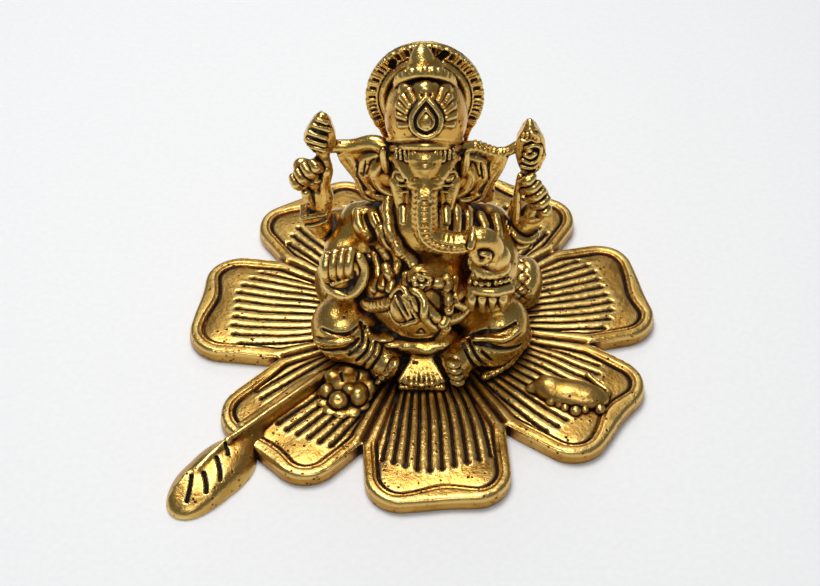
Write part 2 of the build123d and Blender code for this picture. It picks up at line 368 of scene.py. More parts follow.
def dish_relief(x, y, to_edge):
    """Height over the dish's top plane, and how much antiquing the low places hold."""
    bearing = np.arctan2(y, x)
    radius = np.hypot(x, y)
    gaps = np.stack([(bearing - math.radians(p) + math.pi) % (2 * math.pi) - math.pi for p in PETALS])
    # each petal runs to the line halfway to its neighbour
    own = np.zeros(x.shape, int)
    best = np.full(x.shape, -9.0)
    reach = np.zeros(x.shape)
    for i, petal in enumerate(PETALS):
        before = (petal - PETALS[i - 1]) % 360 / 2
        after = (PETALS[(i + 1) % len(PETALS)] - petal) % 360 / 2
        half = np.radians(np.where(gaps[i] < 0, before, after))
        spare = half - np.abs(gaps[i])
        take = spare > best
        best, own, reach = np.where(take, spare, best), np.where(take, i, own), np.where(take, half, reach)
    off = np.take_along_axis(gaps, own[None], 0)[0]
    along, across = radius * np.cos(off), radius * np.sin(off)
    to_crease = radius * np.sin(np.clip(best, 0, 1.5))
    fan = np.clip(radius / 55, 0.5, 1.0)
    edge = -smooth_larger(-to_edge, -to_crease, 0.8)

    # the rim's groove follows the edge and dips inwards at the tip
    wave = 0.18 * np.sin(2.3 * own + 0.4)
    dip = (1.9 + 0.6 * np.sin(1.9 * own)) * np.exp(-(((across / PETAL_HALF - wave) / 0.36) ** 2))
    dip *= np.clip((along - 60) / 8, 0, 1)
    rim = RIM * fan + dip
    bead = np.sin(np.pi * np.clip(edge / rim, 0, 1)) ** 0.7
    groove = np.exp(-(((edge - rim) / GROOVE) ** 2))
    line = 0.45 * np.exp(-(((edge - rim + 1.25) / 0.3) ** 2)) * np.clip((along - 52) / 8, 0, 1)
    groove = np.maximum(groove * (0.8 + 0.2 * np.sin(x / 5.7 + y / 7.9)), line)
    crease = np.exp(-((to_crease / CREASE) ** 2)) * np.clip((to_edge - 0.5) / 2, 0, 1)

    # flutes fan out from the centre and end in a round before the rim
    half_wide = -smooth_larger(-along * np.tan(reach), np.full(x.shape, -PETAL_HALF), 10.0)
    half_wide = half_wide - RIM * fan - 0.9
    lane = across / np.maximum(half_wide, 2.0) + 0.03 * np.sin(along / 9 + own)
    pitch = 2.0 / (FLUTES - 1)
    number = np.clip(np.round((lane + 1) / pitch), 0, FLUTES - 1)
    aside = np.abs(lane - (number * pitch - 1)) * half_wide
    seat = number * pitch - 1
    end = FLUTE_END - 5.0 * np.abs(seat) ** 2.2 + 0.7 * np.sin(5.1 * number + 2.2 * own)
    past = np.maximum(along - end, 0)
    away = np.hypot(aside, past)
    thin = FLUTE_HALF * np.clip(radius / 45, 0.55, 1.0)
    dot = np.clip(1.1 - (np.hypot(aside, along - end + 0.5) / FLUTE_DOT) ** 2, 0, 1) ** 0.5
    flute = np.maximum(np.clip(1.15 - (away / thin) ** 2, 0, 1) ** 0.6, dot) * (edge > rim * 0.9)
    swell = np.clip(1 - past / 3, 0, 1) * 0.22 * np.clip(aside / (half_wide * pitch / 2), 0, 1) ** 2

    field = np.clip((edge - rim) / 7, 0, 1)
    height = 0.35 * bead - 0.95 * groove - 1.2 * crease
    height += np.where(edge > rim, -0.62 + 0.6 * field * (2 - field) + swell, 0.0)
    height -= FLUTE_DEEP * flute
    height += 0.10 * np.sin(x / 6.1 + 1.3) * np.sin(y / 5.3) + 0.07 * np.sin(x / 2.9 - y / 3.7)
    lip = np.clip(EDGE_ROUND - to_edge, 0, EDGE_ROUND)
    height -= EDGE_ROUND - np.sqrt(np.maximum(EDGE_ROUND**2 - lip**2, 0))
    stain = np.clip(np.maximum.reduce([1.15 * groove, 1.1 * flute, 0.9 * crease]), 0, 1)
    return height, stain


def build_dish():
    """One mesh: hub, petals, rim and wall, closed below around the two counterbores."""
    around = 1100
    bearing = np.linspace(0, 2 * math.pi, around, endpoint=False)
    outline = dish_edge(bearing)
    rings = dish_rings()
    radius = HUB + (outline[None] - HUB) * rings[:, None]
    x, y = radius * np.cos(bearing), radius * np.sin(bearing)
    edge_x, edge_y = x[-1], y[-1]
    to_edge = np.full(x.shape, 1e9)
    for turn in range(-around // 14, around // 14 + 1):
        to_edge = np.minimum(to_edge, np.hypot(x - np.roll(edge_x, turn), y - np.roll(edge_y, turn)))
    height, stain = dish_relief(x, y, to_edge)
    z = DISH_TOP + height
    wall = [DISH_TOP * share for share in (0.62, 0.45, 0.28, 0.1)]
    swell = [0.0, 0.25, 0.2, 0.0]
    levels = [np.stack([x, y, z], 2)]
    for up, out in zip(wall + [0.0], swell + [-0.5]):
        level = np.stack([edge_x * (1 + out / PETAL_TIP), edge_y * (1 + out / PETAL_TIP),
                          np.full(around, up)], 1)
        levels.append(level[None])
    points = np.concatenate(levels)
    tiers = len(points)
    points = points.reshape(-1, 3)
    ring = np.arange(around)
    quads = [
        np.stack([t * around + ring, (t + 1) * around + ring, (t + 1) * around + (ring + 1) % around,
                  t * around + (ring + 1) % around], 1)
        for t in range(tiers - 1)
    ]
    dish = pour("flower_dish", points, np.concatenate(quads), "flower_base", "gilt_dish")
    stain = np.concatenate([stain.ravel(), np.full((tiers - len(rings)) * around, WALL_STAIN)])
    close_dish(dish, around, tiers)
    keep_numbers(dish, "stain", stain)
    return dish


def close_dish(dish, around, tiers):
    """Fills the hub on top and the flat underside, which is cut by the screws' counterbores."""
    screws = box_mm("screw_washers")
    bore = box_mm("flower_base")[0][2]
    depth = screws[1][2]
    bore_radius = (screws[1][1] - screws[0][1]) / 2 + 0.3
    centre_y = (screws[0][1] + screws[1][1]) / 2
    centre_x = screws[1][0] - bore_radius + 0.3
    edit = bmesh.new()
    edit.from_mesh(dish.data)
    edit.verts.ensure_lookup_table()
    edit.faces.new([edit.verts[i] for i in range(around)])
    lowest = [edit.verts[(tiers - 1) * around + i] for i in range(around)]
    rim_edges = {e for v in lowest for e in v.link_edges if e.is_boundary}
    for side in (-1, 1):
        centre = Vector((side * centre_x, centre_y, bore)) * MM
        circle = bmesh.ops.create_circle(edit, segments=48, radius=bore_radius * MM, cap_ends=False,
                                         matrix=Matrix.Translation(centre))
        loop = list({e for v in circle["verts"] for e in v.link_edges})
        rim_edges.update(loop)
        walls = bmesh.ops.extrude_edge_only(edit, edges=loop)["geom"]
        top = [v for v in walls if isinstance(v, bmesh.types.BMVert)]
        bmesh.ops.translate(edit, verts=top, vec=(0, 0, depth * MM))
        bmesh.ops.edgeloop_fill(edit, edges=[e for e in walls if isinstance(e, bmesh.types.BMEdge)])
    bmesh.ops.triangle_fill(edit, edges=list(rim_edges), use_beauty=True, use_dissolve=False)
    bmesh.ops.recalc_face_normals(edit, faces=edit.faces)
    edit.to_mesh(dish.data)
    edit.free()
    dish.data.shade_smooth()


def keep_numbers(piece, name, values):
    """Stores one number a point on a mesh, for its material; missing ones are 0."""
    store = piece.data.attributes.get(name) or piece.data.attributes.new(name, "FLOAT", "POINT")
    full = np.zeros(len(piece.data.vertices), np.float32)
    count = min(len(values), len(full))
    full[:count] = values[:count]
    store.data.foreach_set("value", full)


# ------------------------------------------------------------------ stem, leaf, blossom, mouse

STEM_RIDGE = [(-33.0, -27.4, 8.0), (-40.0, -35.0, 9.0), (-47.2, -42.2, 9.2), (-56.4, -51.6, 9.6),
              (-62.8, -57.6, 9.4)]
LEAF_MIDDLE, LEAF_BEARING = np.array([-68.5, -67.0]), math.radians(53)
LEAF_RIDGE, LEAF_TOP = -3.4, 9.4
SHELF_GAP = 0.05  # the leaf's flat underside stays this far above the shelf
LET_IN = 1.4  # how far the blossom and the mouse reach below the dish's top plane


def leaf_top(x, y, z):
    """How far a point lies above the leaf's two top faces, which meet in a ridge left of its middle."""
    along = -(x - LEAF_MIDDLE[0]) * math.cos(LEAF_BEARING) - (y - LEAF_MIDDLE[1]) * math.sin(LEAF_BEARING)
    across = (x - LEAF_MIDDLE[0]) * math.sin(LEAF_BEARING) - (y - LEAF_MIDDLE[1]) * math.cos(LEAF_BEARING)
    crest = LEAF_TOP - 0.009 * (along + 6) ** 2
    return 0.85 * (z - crest + np.maximum(0.22 * (across - LEAF_RIDGE), -0.80 * (across - LEAF_RIDGE)))


def build_stem_leaf():
    """A ridged stem that widens into a two-sided leaf with four carved veins, flat below."""
    wax = Wax((-92, -96, -1), (-24, -20, 13), 0.36)
    turn = (0, 0, math.degrees(LEAF_BEARING))
    wax.add(lump((-64.0, -62.8, 0.5), (12.0, 8.6, 9.0), turn), 1)
    wax.add(lump((-68.8, -68.2, 0.5), (14.6, 8.8, 9.0), turn), 3)
    wax.add(lump((-72.6, -73.2, 0.5), (10.6, 7.6, 8.4), turn), 3)
    wax.trim(leaf_top, 1.6)
    # the stem: a sharp ridge over a steep right side, with a long slope on its left
    ridge = np.array(STEM_RIDGE)
    wax.add(rod([(*p, 0.75) for p in ridge]), 0.8)
    wax.add(rod([(*(p + (0.4, 0.3, -2.1)), 1.5) for p in ridge]), 1.4)
    wax.add(rod([(-62.8, -57.6, 9.0, 0.8), (-67.0, -62.4, 8.8, 0.7), (-72.0, -68.8, 7.8, 0.5)]), 1.4)
    wax.add(rod([(*(p + (0.3, 0.3, -3.8)), 2.0) for p in ridge[:4]]), 1.0)
    wax.add(rod([(*(p + (-3.0, 2.8, -4.3)), 1.9) for p in ridge[:4]]), 2.8)
    wax.add(limb(ridge[3] + (1.2, -0.4, -6), ridge[4] + (3.5, -1.0, -6), 3.4, 4.0), 2.0)
    for start, end in (((-63.2, -59.4), (-62.4, -62.6)), ((-65.6, -64.4), (-63.8, -72.4)),
                       ((-69.4, -70.4), (-68.2, -77.0)), ((-73.2, -71.6), (-74.4, -80.4))):
        middle = ((start[0] + end[0]) / 2 + 0.3, (start[1] + end[1]) / 2, 9.2)
        wax.score([(*start, 9.6), middle, (*end, 8.0)], 1.3, 0.9, 0.45)
    wax.roughen(0.3, 5.0, 51)
    wax.cut_below(SHELF_GAP)
    return pour("stem_and_leaf", *wax.cast(), "stem_leaf", "gilt_dish")


def build_blossom():
    """Three buds in front of a ruffled mass, on a scalloped base."""
    wax = Wax((-39, -50, 3), (-13, -20, 14), 0.3)
    wax.add(lump((-26.2, -35.4, DISH_TOP), (7.6, 8.6, 1.5)), 0.5)
    for i in range(11):
        turn = math.radians(33 * i)
        wax.add(lump((-26.2 + 7.2 * math.cos(turn), -35.8 + 7.6 * math.sin(turn), DISH_TOP + 0.1),
                     (2.3, 2.3, 1.2)), 0.9)
    for place, radii in (((-25.0, -32.0, 7.0), (7.6, 6.2, 3.8)), ((-29.8, -28.8, 8.0), (3.4, 2.6, 2.4)),
                         ((-25.0, -27.4, 8.6), (3.6, 2.6, 2.6)), ((-20.0, -29.0, 8.2), (3.2, 2.8, 2.6)),
                         ((-17.8, -33.0, 7.2), (2.2, 3.0, 2.6))):
        wax.add(lump(place, radii), 1.2)
    for place, radii in (((-32.0, -35.4, 8.0), (2.4, 2.5, 2.4)), ((-27.9, -39.4, 7.8), (3.3, 3.3, 3.1)),
                         ((-21.4, -37.2, 8.2), (3.1, 4.2, 3.5))):
        wax.add(lump(place, radii), 0.4)
    wax.add(lump((-24.2, -36.2, 9.6), (2.2, 2.4, 1.8)), 0.8)
    wax.cut(lump((-28.0, -42.4, 10.6), (1.7, 1.4, 1.0)), 0.8)
    wax.score([(-27.6, -29.6, 12), (-26.8, -33.4, 12)], 0.9, 0.5)
    wax.score([(-21.6, -28.6, 12), (-21.4, -32.6, 12)], 0.9, 0.5)
    wax.roughen(0.25, 2.4, 52)
    wax.cut_below(DISH_TOP - LET_IN)
    return pour("blossom_gilt", *wax.cast(), "stem_blossom", "gilt_dish")


def build_mouse():
    """A long low body with a head, curled paws and a tail, let into the petal."""
    wax = Wax((32, -50, 3), (68, -20, 15), 0.3)
    wax.add(lump((49.5, -35.5, DISH_TOP + 1.2), (12.5, 5.6, 4.0), (0, 0, -14)), 0.5)
    wax.add(lump((42.0, -33.2, DISH_TOP + 2.2), (5.2, 4.0, 3.4), (0, 0, -20)), 1.2)
    wax.add(lump((37.8, -32.6, DISH_TOP + 1.2), (3.4, 2.2, 2.0), (0, 0, 10)), 1.0)
    for place, size in (((42.5, -38.2), 1.7), ((45.2, -39.6), 1.3), ((47.0, -41.2), 1.4),
                        ((50.2, -42.6), 1.9), ((53.4, -42.0), 1.3), ((58.5, -41.8), 1.7)):
        wax.add(lump((*place, DISH_TOP + 0.5), (size, size, size)), 0.5)
    wax.add(rod([(60, -37.5, 6.4, 1.3), (61.5, -34, 6.2, 1.1), (58.5, -30.5, 6.1, 1.0),
                 (55.5, -26.5, 6.0, 0.9)]), 0.6)
    wax.cut_below(DISH_TOP - LET_IN)
    wax.roughen(0.2, 3.0, 53)
    return pour("attendant_mouse", *wax.cast(), "mouse", "gilt_dish")


# ------------------------------------------------------------------ seated body

SEAT_LET_IN = 1.2  # how far the figure's underside reaches below the dish's top plane
RIGHT_KNEE, LEFT_KNEE = (-27.0, -15.5, 18.0), (25.5, -14.0, 17.0)


def model_torso(wax):
    """Hips, belly, chest and shoulders."""
    wax.add(lump((0, -1, 17), (24, 14, 15)), 2)
    wax.add(lump((-1.5, -10.0, 33.0), (17.5, 20.5, 15.5)), 3)
    wax.add(lump((0.5, -3, 51), (17.5, 12.5, 18)), 4)
    wax.add(limb((-20, -1, 50.5), (21, -1, 50), 8.0, 8.0), 3)
    wax.add(lump((24, -6, 34), (7.0, 12, 17), (0, 6, 0)), 3)
    wax.add(lump((-24.5, -4, 34), (6.5, 10, 15), (0, -4, 0)), 3)


def model_legs(wax):
    """Folded legs under the cloth, the feet and the pleated cloth between them."""
    for side, knee, ankle in ((-1, RIGHT_KNEE, (-12.5, -25.5, 13.5)), (1, LEFT_KNEE, (11.0, -26.0, 14.0))):
        wax.add(limb((side * 12, -3, 17), knee, 11, 10.8), 3)
        wax.add(limb((knee[0] * 0.95, knee[1] - 3, knee[2] - 2.5), ankle, 8.5, 5.2), 2)
    wax.add(lump((-13, -28.0, 12.0), (4.6, 4.6, 6.4), (0, 20, 0)), 1.0)
    wax.add(lump((11.5, -28.0, 12.5), (4.4, 4.6, 6.8), (0, -8, 0)), 1.0)
    for i, size in enumerate((1.9, 1.6, 1.5, 1.4, 1.3)):
        wax.add(lump((-9.6 - 1.35 * i, -31.2 - 0.45 * i, 16.9 - 1.75 * i), (size, size, size * 0.62),
                     (0, -38, 0)), 0.12)
    for i in range(4):
        wax.add(lump((9.9 + 0.5 * i, -31.4 - 0.4 * i, 17.0 - 2.4 * i), (2.5, 2.0, 1.3), (0, 8, -12)), 0.15)
    wax.add(limb((-4.5, -26.0, 7.5), (4.0, -26.0, 7.5), 5.2, 5.2), 1.0)
    for i in range(-4, 5):
        wax.add(limb((-0.5 + 0.6 * i, -25.5, 14.4), (-0.5 + 1.75 * i, -31.6, 9.0), 0.75, 0.85), 0.15)
        wax.add(lump((-0.5 + 1.75 * i, -32.6 + 0.12 * i * i, 8.0 + 0.5 * (i % 2)), (1.2, 1.3, 1.0)), 0.2)
        wax.add(limb((-0.5 + 1.7 * i, -32.4, 6.6), (-0.5 + 1.7 * i, -31.4, 4.6), 1.2, 1.2), 0.4)


def drape(wax):
    """Folds over the shins and knees, the hem on the idol's left and the gathered cloth under the belly."""
    for route, width, depth in (
        ([(-34.6, -22, 14.4), (-30.0, -26.4, 17.8), (-25.5, -26.8, 19.0), (-21.2, -24.6, 21.4)], 1.5, 0.8),
        ([(-33.2, -22, 23.6), (-28.4, -24.5, 23.8), (-24.3, -24, 23.8), (-20.6, -21, 24.8)], 1.2, 0.7),
        ([(-19.2, -20.8, 23.8), (-17.8, -23, 21.2), (-18.4, -27, 19), (-22.2, -28.2, 14.8)], 1.1, 0.75),
        ([(-17.2, -21.8, 21.6), (-15.6, -25.2, 19.8), (-16.6, -28.2, 17.8), (-19.8, -28.8, 12.8)], 1.1, 0.75),
        ([(-15.4, -23, 20.4), (-13.8, -26, 19.2), (-14.8, -28.8, 17.4), (-17.4, -29.8, 13)], 1.1, 0.75),
        ([(-20.6, -20.4, 25.2), (-19.8, -22.6, 22.4), (-20.6, -25.8, 20.2), (-24.6, -27.4, 16.6)], 1.1, 0.7),
        ([(16.2, -21.6, 20.6), (20.4, -21.8, 22.4), (25.6, -22.4, 23.4), (30.9, -19.8, 24.2)], 1.4, 0.8),
        ([(17.2, -24.6, 20), (21.6, -25, 19.2), (26.4, -25.2, 17.4), (33.0, -22, 15.6)], 1.7, 1.0),
        ([(13.2, -24.6, 19.8), (14.8, -28.3, 17.6), (17.2, -28.6, 12.8), (19.4, -26, 8)], 1.2, 0.8),
        ([(15.0, -23.2, 20.2), (17.0, -27.2, 18), (19.6, -28, 13.6), (22.4, -25, 8)], 1.2, 0.8),
        ([(19.4, -26.2, 17.4), (23.4, -26, 12.4), (26.0, -23, 7.6)], 1.3, 0.8),
    ):
        wax.score(route, width, depth, 0.4)
    for route, fat in (
        ([(17.4, -23.8, 21.0), (21.6, -23.8, 21.0), (27.0, -24, 21.0), (31.6, -21, 22.2)], 1.0),
        ([(-33.6, -22, 19), (-28.6, -25.6, 21), (-23.6, -25.2, 22.2)], 1.1),
        ([(-18.4, -21.4, 22.6), (-16.8, -24.2, 20.6), (-17.6, -27.6, 18.4), (-21.0, -28.4, 14.0)], 0.8),
        ([(-16.4, -22.4, 21.2), (-14.8, -25.6, 19.6), (-15.8, -28.4, 17.6), (-18.6, -29.2, 13.0)], 0.8),
    ):
        wax.lay(route, fat, 0.4, 0.7)
    wax.add(limb((24, -19, 11), (31.5, -13.5, 11.5), 7.0, 5.5), 2)
    hem = [(20.6, -27.6, 6.6), (25.0, -25.6, 7.4), (29.6, -22.6, 9.2), (34.4, -16.6, 12.6)]
    wax.add(rod(hem, 1.5), 0.6)
    for p in curve(hem, 1.5):
        wax.add(lump(p + (0, -0.7, 0.5), (0.65, 1.1, 1.2), (0, 35, 0)), 0.2)
    for x, z, size in ((-13.0, 21.8, 2.0), (-9.8, 19.8, 2.1), (-6.2, 18.6, 2.2), (-2.4, 17.6, 2.0),
                       (1.4, 17.4, 2.1), (5.0, 18.4, 2.0)):
        wax.add(lump((x, -24.2 - 0.3 * size * math.sin(x), z),
                     (size + 1.2, 2.2, size * (0.6 + 0.2 * math.sin(2 * x)))), 1.0)
    wax.add(limb((-11, -20, 17), (7, -20, 15.5), 5.5, 5.5), 2)


def model_lower_arms(wax):
    """The right hand raised in blessing, and the left one that holds the sweet."""
    wax.add(rod([(-19, -1, 50.5, 7.6), (-25.5, -6, 46, 6.4), (-27, -14, 43, 6.0), (-25.6, -20, 45, 5.8)]),
            2.0)
    wax.add(lump((-25.2, -21.4, 50.5), (7.0, 5.6, 8.8), (0, 10, 0)), 1.5)
    wax.add(rod([(-31.6, -22, 51.0, 1.8), (-30.0, -25, 46.8, 2.1), (-26.4, -26.6, 44.6, 2.2),
                 (-22.6, -26.6, 45.4, 2.1),
                 (-19.6, -25.2, 48.8, 1.9), (-18.8, -23.6, 53.0, 1.7), (-20.2, -22.6, 57.0, 1.7)]), 0.5)
    wax.add(lump((-27.2, -24.6, 49.0), (4.2, 2.6, 3.4)), 0.6)
    wax.cut(rod([(-25.4, -28.2, 47.0, 0.9), (-23.4, -28.0, 48.4, 1.6), (-21.9, -27.2, 50.8, 1.7),
                 (-21.2, -26.2, 53.4, 0.8)]), 0.3)
    wax.add(lump((-26.6, -22.6, 54.0), (6.4, 3.8, 5.0), (0, 12, 0)), 0.8)
    for i in range(4):
        x, up = -31.2 + 2.45 * i, 0.9 * i - 0.12 * i * i
        wax.add(rod([(x + 0.9, -26.0, 50.4 + up, 1.2), (x + 0.3, -26.9, 53.2 + up, 1.45),
                     (x + 0.5, -25.8, 56.4 + up, 1.5), (x + 1.2, -22.8, 58.4 + up, 1.4)]), 0.35)
    for i in range(4):
        wax.add(lump((-28.6 + 1.5 * i, -27.2 + 0.2 * i, 49.6 + 0.5 * i), (0.9, 0.7, 0.9)), 0.25)

    wax.add(rod([(19, -1, 50, 7.2), (24, -7, 46, 6.4), (24.6, -14, 43, 6.4), (23, -20, 45, 5.8)]), 2.0)
    wax.add(lump((21.4, -22.8, 45.0), (7.2, 5.2, 6.2)), 1.2)
    wax.add(rod([(15.4, -27.0, 47.0, 1.6), (19.0, -28.8, 48.0, 1.7), (23.4, -28.8, 47.8, 1.8),
                 (27.4, -26.4, 46.6, 1.9)]), 0.3)
    for i in range(4):
        x = 15.6 + 3.25 * i
        wax.add(rod([(x, -27.2 - 0.5 * (i in (1, 2)), 47.0, 1.6),
                     (x, -28.9 - 0.3 * (i in (1, 2)), 44.4, 1.65),
                     (x + 0.1, -28.4, 39.8 + 0.4 * abs(i - 1.5), 1.5)]), 0.12)
    for i in range(3):
        x = 17.2 + 3.25 * i
        wax.cut(rod([(x, -30.2, 45.2, 0.35), (x, -29.6, 42.0, 0.8), (x + 0.1, -28.6, 38.8, 1.0)]), 0.15)
    wax.add(pearls([(15.0, -26.0, 49.8), (18.5, -28.2, 50.6), (23.0, -27.8, 50.6), (27.5, -25.2, 49.8)],
                   0.95, 1.7), 0.2)
    wax.add(pearls([(15.8, -25.5, 52.0), (19.0, -27.3, 52.8), (23.0, -27.0, 52.8), (26.8, -24.6, 51.8)],
                   0.8, 1.6), 0.2)
    wax.add(lump((21.5, -23.6, 53.5), (6.4, 4.6, 3.0)), 0.8)
    wax.add(lump((23.0, -23.6, 57.6), (4.6, 4.0, 5.4), (0, 8, 0)), 0.6)


def ribbed(wax, route, fat, spacing, tilt):
    """Lays a cord on the surface and rings it closely, like wound wire."""
    laid = wax.lay(route, fat, 0.2, 0.35)
    steps = np.concatenate([[0], np.cumsum(np.linalg.norm(np.diff(laid[:, :3], axis=0), axis=1))])
    for at in np.arange(spacing, steps[-1] - spacing / 2, spacing):
        centre = np.array([np.interp(at, steps, laid[:, i]) for i in range(3)])
        wax.add(lump(centre, (spacing * 0.36, fat + 0.35, fat + 0.35), tilt), 0.15)


def dress(wax):
    """Shawl, garland, brooch, belts, knot and tassels, each laid over what lies below it."""
    for route, fat in (
        ([(-21.0, -4, 60), (-20.6, -7, 57.6), (-18.2, -9.6, 54.2)], 2.1),
        ([(-17.6, -3, 61), (-16.0, -7.2, 59), (-14.6, -11.6, 57.6), (-14.4, -14, 53.6)], 2.0),
        ([(-13.2, -12.4, 59.6), (-11.8, -16.4, 57), (-9.8, -17.2, 52), (-9.6, -18.6, 47.5)], 2.1),
        ([(6.6, -10, 65), (7.0, -13.4, 61.6), (6.6, -15, 58)], 1.5),
        ([(10.6, -8, 64.6), (11.2, -11, 62), (11.2, -14, 58)], 1.6),
        ([(14.8, -7, 61.4), (15.2, -9.6, 58.6), (15.0, -13, 55)], 1.6),
        ([(19.2, -5, 59.4), (20.2, -8.4, 57.0), (19.6, -12, 54)], 1.7),
        ([(23.4, -4, 57.0), (24.6, -8, 54.0), (24.2, -12, 50.8)], 1.5),
        ([(-16.4, -16.4, 50.6), (-14.4, -18.6, 47.0), (-13.6, -20.6, 42.6)], 1.7),
        ([(-13.0, -18.4, 50.0), (-10.6, -20.6, 46.0), (-10.4, -22.4, 42.4)], 1.6),
        ([(-18.8, -14.6, 47.6), (-17.4, -17.2, 43.6), (-16.8, -19.0, 39.6)], 1.5),
    ):
        wax.lay(route, fat, 0.45, 0.8)
    for route in ([(-19.4, -6, 60.4), (-18.6, -9, 56.6)], [(-15.6, -6.4, 61.6), (-13.8, -11.4, 59.0)],
                  [(-12.0, -14.8, 58.8), (-10.4, -17.2, 54.4)]):
        wax.score(route, 0.8, 0.45)

    garland = [(-11.8, -5.5, 67.0), (-11.6, -9, 63.6), (-10.4, -13, 60.8), (-8.4, -17, 57.4),
               (-5.8, -18.6, 53.2), (-3.2, -19.6, 50.2)]
    ribbed(wax, garland, 1.75, 1.5, (0, 62, 20))

    wax.add(lump((-0.4, -23.0, 48.4), (4.6, 2.4, 4.4), (-35, 0, 0)), 0.5)
    middle = wax.settle([(-0.4, -24, 48.8)], 0.3)[0]
    for i in range(8):
        a = math.radians(45 * i)
        petal = wax.settle([middle + (2.6 * math.cos(a), 0, 2.4 * math.sin(a))], 0.2)[0]
        wax.add(lump(petal, (1.15, 0.9, 1.1)), 0.2)
    wax.add(lump(middle, (1.1, 0.9, 1.0)), 0.15)
    wax.add(lump((4.6, -23.6, 46.6), (2.6, 2.0, 2.4)), 0.4)

    belt = [(-19.6, -17, 30.4), (-16.0, -20.6, 33.6), (-12.4, -24, 37.4), (-10.2, -26, 40.2)]
    ribbed(wax, belt, 1.8, 1.7, (0, -42, 0))
    band = [(-2.2, -27.4, 43.6), (1.6, -29.4, 40.2), (4.2, -30.0, 37.2), (8.0, -29.2, 35.0),
            (12.6, -26.0, 33.6), (16.0, -22, 34.4)]
    wax.lay(band[:3], 1.9, 0.2, 0.4)
    ribbed(wax, band[2:], 1.9, 1.6, (0, 16, 0))
    strip = [(-5.6, -21, 47.8), (-2.6, -26.2, 45.2), (0.6, -29.2, 41.2), (3.0, -30.4, 37.6),
             (4.8, -30.2, 34.0)]
    wax.lay(strip, 1.35, 0.1, 0.3)

    knot = wax.settle([(-5.6, -27.6, 41.0)], 0.6)[0]
    wax.add(lump(knot, (4.6, 2.4, 6.4), (-25, 28, 0)), 0.4)
    across, down = np.array((0.83, -0.22, 0.42)), np.array((0.42, -0.42, -0.8))
    loop = [knot + 4.2 * math.cos(t) * across + 6.2 * math.sin(t) * down + (0, -0.6, 0.2)
            for t in np.linspace(0, 2 * math.pi, 17)]
    wax.lay(loop, 0.95, 0.1, 0.3)
    for offset in (-1.5, 0.4, 2.0):
        stroke = [knot + offset * across + t * down + (0, -2.0, 0.8) for t in (-4.0, 0.2, 4.2)]
        wax.lay(stroke, 0.6, 0.1, 0.25)

    tassel = [(9.6, -20.6, 48.6), (9.4, -23.6, 45.4), (8.8, -26.4, 41.6), (8.0, -28.6, 38.2)]
    ribbed(wax, tassel, 1.6, 1.6, (0, 78, 0))
    wax.lay([(13.0, -20.4, 46.6), (13.4, -23, 42.4), (13.2, -25, 38.6)], 1.3, 0.3, 0.5)
    lower = [(7.4, -28.6, 31.4), (6.8, -28.6, 28.0), (5.6, -27.2, 24.6)]
    ribbed(wax, lower, 1.6, 1.5, (0, 66, 0))
    navel = wax.settle([(-0.6, -30.4, 30.6)], -0.2)[0]
    wax.cut([limb(navel + (0, 0, 1.4), navel + (0, 0, 1.4), 0.7, 0.7),
             limb(navel + (0, 0, 1.2), navel + (-1.3, 0, -1.2), 0.75, 0.75),
             limb(navel + (0, 0, 1.2), navel + (1.3, 0, -1.2), 0.75, 0.75),
             limb(navel + (-1.3, 0, -1.2), navel + (1.3, 0, -1.2), 0.75, 0.75)], 0.25)


def build_body():
    """The seated figure: one casting from the hips to the neck, with both lower arms."""
    wax = Wax((-43, -38, 3), (44, 15, 74), 0.43)
    model_torso(wax)
    model_legs(wax)
    wax.roughen(0.3, 5.0, 31)
    drape(wax)
    dress(wax)
    model_lower_arms(wax)
    wax.roughen(0.12, 2.6, 32)
    wax.cut_below(DISH_TOP - SEAT_LET_IN)
    return pour("seated_figure", *wax.cast(), "seated_body", "gilt_idol")


# ------------------------------------------------------------------ bolster


def build_bolster():
    """A round cushion behind the seat, with domed ends and a net of cords scored into it."""
    low, high = box_mm("bolster")
    radius = (high[2] - low[2]) / 2
    y, z = (low[1] + high[1]) / 2, (low[2] + high[2]) / 2
    wax = Wax(low - 2, high + 2, 0.45)
    wax.add(limb((low[0] + radius, y, z), (high[0] - radius, y, z), radius, radius))
    wax.add(lump((high[0] - 4, y, z), (5.5, radius - 0.8, radius - 0.8)), 2)
    wax.add(lump((low[0] + 4, y, z), (5.5, radius - 0.8, radius - 0.8)), 2)
    # a net of crossed cords over the whole round
    for hand in (-1, 1):
        for start in np.arange(low[0] - 16, high[0] + 16, 4.2):
            spiral = [(start + hand * radius * t * 0.9, y - radius * math.cos(t), z + radius * math.sin(t))
                      for t in np.linspace(-1.2, 2.2, 9)]
            spiral = [p for p in spiral if low[0] + 1 < p[0] < high[0] - 1]
            if len(spiral) > 2:
                wax.score(spiral, 0.85, 0.4, 0.3)
    wax.roughen(0.25, 3.0, 41)
    return pour("seat_bolster", *wax.cast(), "bolster", "gilt_idol")


# ------------------------------------------------------------------ head

HEAD_X = 0.6
TRUNK = [(0.6, -12.0, 87.5, 6.0), (0.6, -15.4, 83.6, 4.0), (0.5, -18.6, 79, 4.0), (0.4, -21.8, 73.5, 4.2),
         (1.2, -23.8, 68.8, 4.2), (4.6, -24.8, 66.2, 4.1), (10.0, -25.4, 65.4, 3.7), (14.5, -25.6, 66.2, 3.4)]


def both_sides(points):
    """A route on the face and the same route on its other side."""
    return points, [(2 * HEAD_X - p[0], *p[1:]) for p in points]


